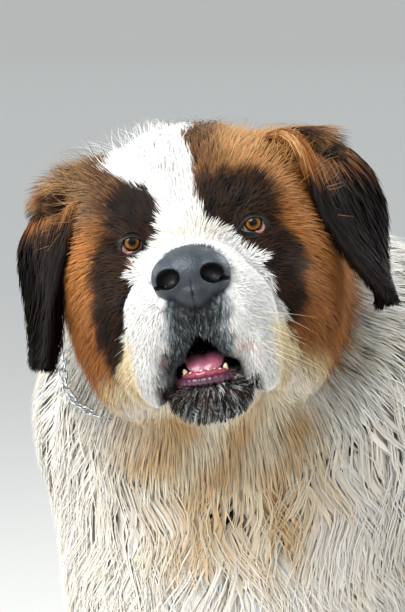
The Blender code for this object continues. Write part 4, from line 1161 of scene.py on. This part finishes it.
def nose_surface():
    """Nose leather: damp slate grey, pebbled in cells 2 mm wide, drawn coarse to show, with painted shade: black
    inside the nostrils, dark in the middle groove and darker down the front.
    """
    material, tree, shader = finish("nose_leather", Roughness=0.46)
    place = node(tree, "ShaderNodeTexCoord")
    depth = node(tree, "ShaderNodeAttribute", attribute_name="Depth")
    patch = node(tree, "ShaderNodeTexNoise", {"Vector": place.outputs["Object"], "Scale": 110.0, "Detail": 5.0})
    tone = node(tree, "ShaderNodeMix", {"Factor": patch.outputs["Fac"], "A": rgb("1B1F25"), "B": rgb("47505A")},
                data_type="RGBA")
    # Painted shade: the leather mixed towards black by the shade stored on the nose
    dark = node(tree, "ShaderNodeMix", {"Factor": depth.outputs["Fac"], "A": tone.outputs["Result"],
                                        "B": rgb("030303")}, data_type="RGBA")
    cells = node(tree, "ShaderNodeTexVoronoi", {"Vector": place.outputs["Object"], "Scale": 620.0})
    cracks = node(tree, "ShaderNodeTexNoise", {"Vector": place.outputs["Object"], "Scale": 260.0, "Detail": 6.0})
    height = node(tree, "ShaderNodeMath", {0: cells.outputs["Distance"], 1: cracks.outputs["Fac"]}, operation="ADD")
    bump = node(tree, "ShaderNodeBump", {"Height": height.outputs["Value"], "Strength": 0.45, "Distance": 0.0006})
    tree.links.new(dark.outputs["Result"], shader.inputs["Base Color"])
    tree.links.new(bump.outputs["Normal"], shader.inputs["Normal"])
    return material


# The inside of the mouth and the eye openings: wet skin painted nearly black, painted shade for these hollows
def mouth_shade_lining():
    return wet("mouth_shade_lining", "0C0606", "241013", 0.012, 0.4, 0.4)


def tongue():
    """The tongue: an ellipse across that narrows to the tip and dips along its middle."""
    shares = np.linspace(0.02, 0.98, 30)
    turns = np.linspace(0, 2 * math.pi, 28, endpoint=False)
    middle = through([(-1, -48, -108), (-1, -62, -103), (-1, -78, -105), (-1, -90, -110), (-1, -94, -114)], shares)
    half = 15.5 * np.sin(math.pi * (0.18 + 0.80 * shares)) ** 0.45
    high = 6.5 * np.sin(math.pi * (0.2 + 0.78 * shares)) ** 0.5
    x = half[:, None] * np.cos(turns)
    z = high[:, None] * np.sin(turns) - 2.0 * np.exp(-((x / 3.0) ** 2)) * (np.sin(turns) > 0)
    z = np.maximum(z + middle[:, 2:3], MOUTH_FLOOR + 0.5)
    rings = np.stack((middle[:, 0:1] + x, np.broadcast_to(middle[:, 1:2], x.shape), z), -1)
    points, faces = tube(on_head(rings), close=True)
    return mesh_piece("tongue_flesh", points, faces)


def gum_line(turns, out, height):
    """Places along the lower gum's bow, out from it and above the mouth's floor."""
    return np.c_[-1 - (16 + out) * np.cos(turns), -80 - (17 + out) * np.sin(turns),
                 np.full(len(turns), MOUTH_FLOOR + height)]


def gum():
    """The lower gum: a bow with a rounded section and a soft scallop between the teeth."""
    turns = np.linspace(0, math.pi, 60)
    line = gum_line(turns, 0.3, 0)
    line[:, 2] += 1.2 + 0.5 * np.sin(turns * 13)
    points, faces = tube(on_head(swept(line, 2.7, 12)), close=True)
    return mesh_piece("lower_gum", points, faces)


def teeth():
    """Six small incisors and two canines: each a rounded cone that leans out a little."""
    parts = []
    for turn, radius, height in ((24, 2.4, 6.8), (47, 1.7, 3.6), (64, 1.7, 3.9), (81, 1.7, 4.0), (99, 1.7, 4.0),
                                 (116, 1.7, 3.9), (133, 1.7, 3.6), (156, 2.4, 6.8)):
        foot = gum_line(np.radians([turn]), 0.0, 1.0)[0]
        way = unit(np.array((-math.cos(math.radians(turn)) * 0.25, -math.sin(math.radians(turn)) * 0.25, 1)))
        shares = np.linspace(0, 0.97, 8)
        line = foot + way * height * shares[:, None]
        radii = radius * np.sqrt(1 - shares**2.2)
        parts.append(tube(on_head(swept(line, radii, 10, flat=0.75, up=(0, 1, 0))), close=True))
    return joined("lower_teeth_row", parts)


def lower_lip():
    """The dark wet lower lip: a soft bow round the jaw's front, knobbly towards its corners."""
    shares = np.linspace(0, 1, 90)
    line = through([(-24, -60, -117), (-22, -80, -119), (-14, -95, -120.5), (-1, -100, -121), (12, -95, -120.5),
                    (20, -80, -119), (22, -60, -117)], shares)
    radii = 3.9 * np.sin(math.pi * (0.08 + 0.84 * shares)) ** 0.5 * (1 + 0.12 * np.sin(shares * 130))
    points, faces = tube(on_head(swept(line, radii, 14, flat=0.9)), close=True)
    return mesh_piece("lower_lip", points, faces)


# Ears

# Middle line, way across and half width of an ear from root to tip, in millimetres
EAR_MIDDLE = [(62, 68, 58), (86, 62, 70), (108, 56, 60), (120, 52, 32), (124, 49, 0), (128, 47, -36),
              (133, 44, -70), (137, 41, -90), (138, 40, -96)]
EAR_ACROSS = [(0.25, 0.97, 0), (0.35, 0.94, 0), (0.5, 0.87, 0), (0.58, 0.81, 0), (0.56, 0.83, 0),
              (0.45, 0.89, 0), (0.38, 0.92, 0), (0.36, 0.93, 0), (0.36, 0.93, 0)]
EAR_HALF = [(26,), (34,), (39,), (41,), (39,), (29,), (16,), (10,), (4,)]
EAR_THICK = 6.5
EAR_DROP = {-1: 0.86, 1: 0.74}   # each ear's own length below the eyes' level
EAR_RISE = {-1: 0.68, 1: 1.0}    # and its own height above them
EAR_WIDE = 1.12


def ear_point(side, share, turn):
    """Places on an ear: the middle line, plus a flat cupped ellipse round it, with a slow wave down its length."""
    middle = through(EAR_MIDDLE, share)
    wide = unit(through(EAR_ACROSS, share))
    half = through(EAR_HALF, share)[:, 0] * EAR_WIDE
    ahead = through(EAR_MIDDLE, np.clip(share, 0, 0.985) + 0.015) - through(EAR_MIDDLE, np.clip(share, 0.015, 1) - 0.015)
    middle[:, 2] *= np.where(middle[:, 2] < 0, EAR_DROP[side], EAR_RISE[side])
    middle[:, 0] += 9 * smooth(0.3, 0.9, share) * (side > 0)
    ahead = unit(ahead)
    out = unit(np.cross(wide, ahead))
    over = np.cos(turn)
    cup = 6.0 * (over**2 - 0.4) + 3.5 * np.sin(9 * share + 2.5 * over + side)
    place = (middle + wide * (over * half * 0.93)[:, None] + out * (EAR_THICK / 2 * np.sin(turn) - cup)[:, None])
    place[:, 0] *= side
    way = unit(out * np.sin(turn)[:, None] + wide * (over * 0.35)[:, None])
    way[:, 0] *= side
    ahead[:, 0] *= side
    return place, way, ahead


def ear_flap(side):
    """The ear's own skin."""
    shares, turns = np.linspace(0, 1, 40), np.linspace(0, 2 * math.pi, 36, endpoint=False)
    s, t = (grid.ravel() for grid in np.meshgrid(shares, turns, indexing="ij"))
    place, _, _ = ear_point(side, s, t)
    rings = on_head(place).reshape(len(shares), len(turns), 3)
    points, faces = tube(rings if side > 0 else rings[:, ::-1], close=True)
    name = "right_ear_flap" if side < 0 else "left_ear_flap"
    obj = mesh_piece(name, points, faces)
    # Painted shade under the ear's hair: the skin in its coat's colours at four fifths
    paint(obj.data, ear_colours(side, in_head(points), points) * 0.8)
    return obj


def ear_colours(side, places, points):
    """Soot on the ear's outside, brown at its folded root, where light hairs stray over it."""
    x, y, z = places.T
    streak = 0.5 + 0.5 * swell(points * (1, 1, 0.35), 0.012, 41)
    fold = 36 if side < 0 else 50
    found = mixed(np.tile(SOOT * 0.7, (len(x), 1)), BROWN, 0.12 * streak + 0.5 * smooth(fold - 30, fold, z) * streak)
    found = mixed(found, mixed(np.tile(RUST, (len(x), 1)), TAN, streak), smooth(fold, fold + 16, z + 8 * streak))
    return mixed(found, SAND, smooth(0.62, 0.9, streak) * smooth(fold, fold + 20, z) * 0.8)


def ear_coat(side, chance):
    """Straight hair down the ear, longer at the fold and the lower edge, and rounded off at the tip."""
    count = 5200
    share, turn = chance.random(count) ** 0.9 * 0.97, chance.random(count) * 2 * math.pi
    length = (0.07 + 0.06 * chance.random(count)) * (1 + 0.5 * smooth(0.35, 0.1, share))
    last = 1.0 - 0.14 * np.cos(turn) ** 2 - 0.06 * chance.random(count)
    lift = chance.uniform(2.5, 7.5, count)
    lean = chance.normal(0, 0.05, count)
    path = []
    for step in range(4):
        part = step / 3
        reach = share + length * part
        on_ear = np.minimum(reach, np.maximum(last, share + 0.004 * step))
        place, way, ahead = ear_point(side, on_ear, turn + lean * part)
        place = place + way * (np.where(step == 0, -0.6, lift * part**0.8))[:, None]
        place = place + ahead * (70 * (reach - on_ear))[:, None]
        place[:, 2] -= 3.0 * part**2
        path.append((on_head(place), way @ HEAD_AXES.T, ahead @ HEAD_AXES.T))
    roots = path[0][0]
    _, number = gathered(roots, 0.010, 3.0)
    colours = varied(ear_colours(side, in_head(roots), roots), number, chance, 0.16)
    width = MM * chance.uniform(1.1, 2.1, count)
    name = "coat_right_ear" if side < 0 else "coat_left_ear"
    return tufts(name, path, width, colours, 0.25)


def ear_fringe(side, chance):
    """Loose wavy locks over the fold of an ear: they start on the skull above it and fall across its top."""
    count = 2000
    share, along = chance.uniform(0.02, 0.27, count), chance.uniform(-0.7, 0.7, count)
    turn = -np.arccos(along)
    place, way, ahead = ear_point(side, share, turn)
    outwards = np.array((side * 0.55, 0.1, 0.35))
    loose = 1.0 if side < 0 else 0.3
    length = np.minimum(chance.uniform(20, 50, count), 14 + 240 * np.clip(0.27 - share, 0, 1))
    phase, swing = chance.uniform(0, 2 * math.pi, count), chance.uniform(0.1, 0.3, count)
    path, at = [], place + way * 1.0
    for step in range(5):
        part = step / 4
        sideways = np.cross(way, ahead)
        heading = unit(ahead * (0.75 + 0.5 * part)
                       + loose * (way * (0.75 - 0.7 * part) + outwards * (0.5 - 0.5 * part))
                       + sideways * (swing * np.sin(phase + 4.5 * part))[:, None] - np.array((0, 0, 0.5 * part)))
        path.append((on_head(at), way @ HEAD_AXES.T, heading @ HEAD_AXES.T))
        at = at + heading * (length / 4)[:, None]
    roots = path[0][0]
    _, number = gathered(roots, 0.008, 3.0)
    x, y, z = in_head(roots).T
    tone = mixed(np.tile(BROWN, (count, 1)), TAN, smooth(0.3, 0.8, number + 0.3 * along))
    tone = mixed(tone, SAND, smooth(0.75, 0.95, number) * 0.9)
    tone = mixed(tone, SOOT, smooth(46, 24, (z + 8 if side < 0 else z) + 12 * number) + smooth(0.18, 0.28, share))
    name = "coat_right_fringe" if side < 0 else "coat_left_fringe"
    width, tone = MM * chance.uniform(0.6, 1.3, count), varied(tone, number, chance, 0.18)
    low = np.max([step[0][:, 2] for step in path], 0) < CAD_HIGH[2] - SHIFT[2] - 2 * MM
    path = [tuple(rows[low] for rows in step) for step in path]
    return tufts(name, path, width[low], tone[low], 0.3)


# Claws, whiskers and collar


def claws():
    """Blunt dark claws: each a tapering tube that curves down from its toe."""
    parts = []
    for middle, half in FEET:
        for side in (-1, 1):
            for toe in TOES:
                tip, fan = toe_tip(side, middle, half, toe)
                ahead = np.array((math.sin(fan), -math.cos(fan), 0))
                start = np.array(tip) + ahead * 0.44 * half + np.array((0, 0, 0.08 * half))
                shares = np.linspace(0, 1, 9)
                line = start + ahead * 0.34 * half * shares[:, None]
                line[:, 2] -= 0.17 * half * shares**1.8
                line[:, 2] = np.maximum(line[:, 2], 0.005)
                radii = 0.10 * half * np.sqrt(np.clip(1.04 - shares**1.8, 0.04, 1))
                parts.append(tube(swept(line, radii, 10), close=True))
    return joined("claws", parts)


def strand(start, way, length, radius, sag, steps=12):
    """One stiff hair: a thin cone along its way that sags with the square of the distance."""
    shares = np.linspace(0, 1, steps)
    line = np.asarray(start) + np.asarray(way) * length * shares[:, None]
    line[:, 2] -= sag * shares**2
    return tube(on_head(swept(line, radius * (1.02 - shares) ** 0.8, 6)), close=True)


def whiskers(chance):
    """Pale whiskers on the flews, none reaching past the solids in front."""
    parts = []
    for side in (-1, 1):
        for row in range(4):
            for number in range(3):
                x = 38 + 5 * number
                z = -76 - 9 * row + chance.normal(0, 1.5)
                y = skin_depth(np.array([side * x * 1.0]), np.array([z]))[0]
                way = unit(np.array((side * (0.8 + 0.08 * number), 0.05 + 0.12 * number, -0.25 - 0.12 * row)))
                way = unit(way + chance.normal(0, 0.14, 3))
                length = chance.uniform(26, 62)
                root = np.array((side * x, y + 1, z))
                room = on_head(root)[1] - (CAD_LOW[1] - SHIFT[1] + 2 * MM)
                ahead = max(-(HEAD_AXES @ way)[1], 0.01)
                length = min(length, room / ahead / MM)
                parts.append(strand(root, way, length, 0.17, chance.uniform(2, 14)))
    return joined("whiskers", parts)


COLLAR_SLOPE = math.radians(48)
COLLAR_LINKS = 96


def collar_line(steps):
    """Points round the neck just above the skin, the ways out and the way along the collar's axis."""
    middle = on_head((0, 84, -108))
    frame_axes = np.array(Matrix.Rotation(COLLAR_SLOPE, 3, "X"))
    turns = np.linspace(0, 2 * math.pi, steps, endpoint=False)
    ways = np.stack((np.cos(turns), np.sin(turns), 0 * turns), 1) @ frame_axes.T
    reach = np.full(steps, 0.10)
    shown = smooth(0.935, 0.975, ways @ unit(np.array((-0.97, -0.17, -0.19))))
    for _ in range(14):
        distance, _, coat, _ = read(middle + ways * reach[:, None])
        reach += 0.7 * ((0.85 + 0.15 * shown) * core(coat) + 0.52 * shown * coat + 1.5 * MM - distance)
    for _ in range(8):
        reach = (np.roll(reach, 1) + reach + np.roll(reach, -1)) / 3
    return middle + ways * reach[:, None], ways, frame_axes[:, 2]


def collar():
    """A chain of oval links, each turned a quarter from the last and drawn through it."""
    line, ways, axis = collar_line(COLLAR_LINKS)
    ahead = np.roll(line, -1, 0) - np.roll(line, 1, 0)
    pitch = np.linalg.norm(ahead, axis=1).mean() / 2
    ahead = unit(ahead)
    turns = np.linspace(0, 2 * math.pi, 16, endpoint=False)
    parts = []
    for number in range(COLLAR_LINKS):
        side = unit(np.cross(ahead[number], ways[number]))
        flat = unit(ways[number] * (1 if number % 2 else -1) + side)
        oval = (line[number] + ahead[number] * (0.78 * pitch * np.cos(turns))[:, None]
                + flat * (0.45 * pitch * np.sin(turns))[:, None])
        parts.append(tube(looped(oval, 0.95 * MM, np.cross(ahead[number], flat)), loop=True))
    return joined("collar_chain", parts)


def looped(line, radius, up):
    """Rings of six corners round a closed line."""
    way = unit(np.roll(line, -1, 0) - np.roll(line, 1, 0))
    across = unit(np.cross(way, np.broadcast_to(up, way.shape)))
    over = np.cross(across, way)
    turns = np.linspace(0, 2 * math.pi, 6, endpoint=False)[None, :, None]
    return line[:, None] + radius * (np.cos(turns) * across[:, None] + np.sin(turns) * over[:, None])


# Stage


def stage():
    """A pale floor that curves up all round, under a pale sky, with soft lights above, beside and behind."""
    turns, bend = np.linspace(0, 2 * math.pi, 96, endpoint=False), np.linspace(0, math.pi / 2, 12)
    reach = np.r_[0.01, 3.0, 24.0, 24.0 + 6.0 * np.sin(bend[1:])]
    height = np.r_[0, 0, 0, 6.0 - 6.0 * np.cos(bend[1:])]
    rings = np.stack((reach[:, None] * np.cos(turns), reach[:, None] * np.sin(turns),
                      np.broadcast_to(height[:, None], (len(reach), len(turns)))), -1)
    points, faces = tube(rings[:, ::-1])
    floor = mesh_piece("floor", np.vstack((points, (0, 0, 0))) - SHIFT, faces)
    material, _, _ = finish("floor", Base_Color=rgb("D8D7D3"), Roughness=0.9)
    floor.data.materials.append(material)
    floor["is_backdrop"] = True
    world = bpy.data.worlds.new("sky")
    bpy.context.scene.world = world
    world.use_nodes = True
    world.node_tree.nodes["Background"].inputs["Color"].default_value = rgb("DDE2E6")
    world.node_tree.nodes["Background"].inputs["Strength"].default_value = 1.0
    for name, place, size, power in (("key", (-0.2, -2.5, 2.4), 1.5, 84), ("rim", (0.9, 1.9, 2.4), 1.6, 60),
                                     ("side", (-2.4, -0.6, 1.7), 1.5, 30)):
        light = bpy.data.objects.new(name, bpy.data.lights.new(name, "AREA"))
        light.data.energy, light.data.size = power, size
        light.location = place
        light.rotation_mode = "QUATERNION"
        light.rotation_quaternion = (Vector((0, -0.35, 0.7)) - light.location).to_track_quat("-Z", "Y")
        bpy.context.scene.collection.objects.link(light)


def camera():
    """The photograph's view: from 29 degrees to the dog's left of its front, 8 degrees above level."""
    azimuth, elevation, away = math.radians(29), math.radians(8), 2.0
    back = Vector((math.sin(azimuth) * math.cos(elevation), -math.cos(azimuth) * math.cos(elevation),
                   math.sin(elevation)))
    view = bpy.data.objects.new("camera", bpy.data.cameras.new("camera"))
    view.data.sensor_width = 36
    view.data.lens = 147.06
    view.rotation_mode = "QUATERNION"
    view.rotation_quaternion = (-back).to_track_quat("-Z", "Y")
    aim = EYES_AT + Vector(SHIFT)
    view.location = aim + back * away + view.rotation_quaternion @ Vector((0.008, -0.058, 0))
    bpy.context.scene.collection.objects.link(view)
    bpy.context.scene.camera = view
    bpy.context.scene.view_settings.view_transform = "Standard"


FLESH = ("head", "jaw", "neck", "torso", "tail", "right_foreleg", "left_foreleg", "right_hind_leg", "left_hind_leg")


def main():
    chance = np.random.default_rng(SEED)
    fibre, under = hair(), hide()
    body, points, faces = skin()
    for piece in head_coat(points, faces, chance):
        dress(piece, fibre, "head_coat")
    for piece in body_coat(points, faces, chance):
        dress(piece, fibre, "body_coat")
    for piece in wisps(points, faces, chance):
        dress(piece, fibre, "head_coat")
    paint(body.data, markings(points))
    body.data.vertices.foreach_set("co", (points + SHIFT).astype(np.float32).ravel())
    body.data.shade_smooth()
    dress(body, under, "body_coat", *FLESH)
    body.data.materials.append(mouth_shade_lining())
    # Faces deep below the bare surface, in the mouth and the eye openings, take the nearly black lining: painted
    # shade
    x, y, z = in_head(points).T
    opened = (below(points) < -2.2 * MM) & (abs(x) < 75) & (y < 30) & (z > -128)
    body.data.polygons.foreach_set("material_index", opened[faces].any(1).astype(np.int32))

    eye, lid_skin = eye_surface(), wet("lid_skin", "060505", "0F0C0D", 0.006, 0.6)
    haw_skin = wet("haw", "8E4A4B", "C98582", 0.005, 0.25)
    for side, name in ((-1, "right"), (1, "left")):
        dress(eyeball(side), eye, "eye", f"{name}_eye")
        dress(lid_ring(side), lid_skin, "lip_skin")
        dress(haw(side), haw_skin, "lip_skin")
        dress(ear_flap(side), under, "ear_coat", f"{name}_ear")
        dress(ear_coat(side, chance), fibre, "ear_coat")
        dress(ear_fringe(side, chance), fibre, "ear_coat")
    nose = nose_leather()
    nose.data.transform(Matrix.Translation(SHIFT))
    nose.data.shade_smooth()
    dress(nose, nose_surface(), "nose_leather", "nose")
    dress(tongue(), wet("tongue_flesh", "8E3C55", "C47A90", 0.009, 0.3, 0.7), "tongue", "tongue")
    dress(gum(), wet("gum", "84283F", "BC5A70", 0.006, 0.25), "tongue")
    enamel, _, _ = finish("tooth_enamel", Base_Color=rgb("DCCFA8"), Roughness=0.25)
    dress(teeth(), enamel, "teeth", "lower_teeth")
    dress(lower_lip(), wet("lip_skin", "22101A", "6E3C54", 0.005, 0.28, 0.9), "lip_skin")
    horn, _, _ = finish("claw_horn", Base_Color=rgb("2A221D"), Roughness=0.4)
    dress(claws(), horn, "nose_leather")
    bristle, _, _ = finish("whisker", Base_Color=rgb("E8E0C8"), Roughness=0.4)
    dress(whiskers(chance), bristle, "head_coat")
    steel, _, _ = finish("polished_steel", Base_Color=rgb("C3C8CC"), Roughness=0.22, Metallic=1.0)
    dress(collar(), steel, "collar_steel", "collar")
    stage()
    camera()


main()
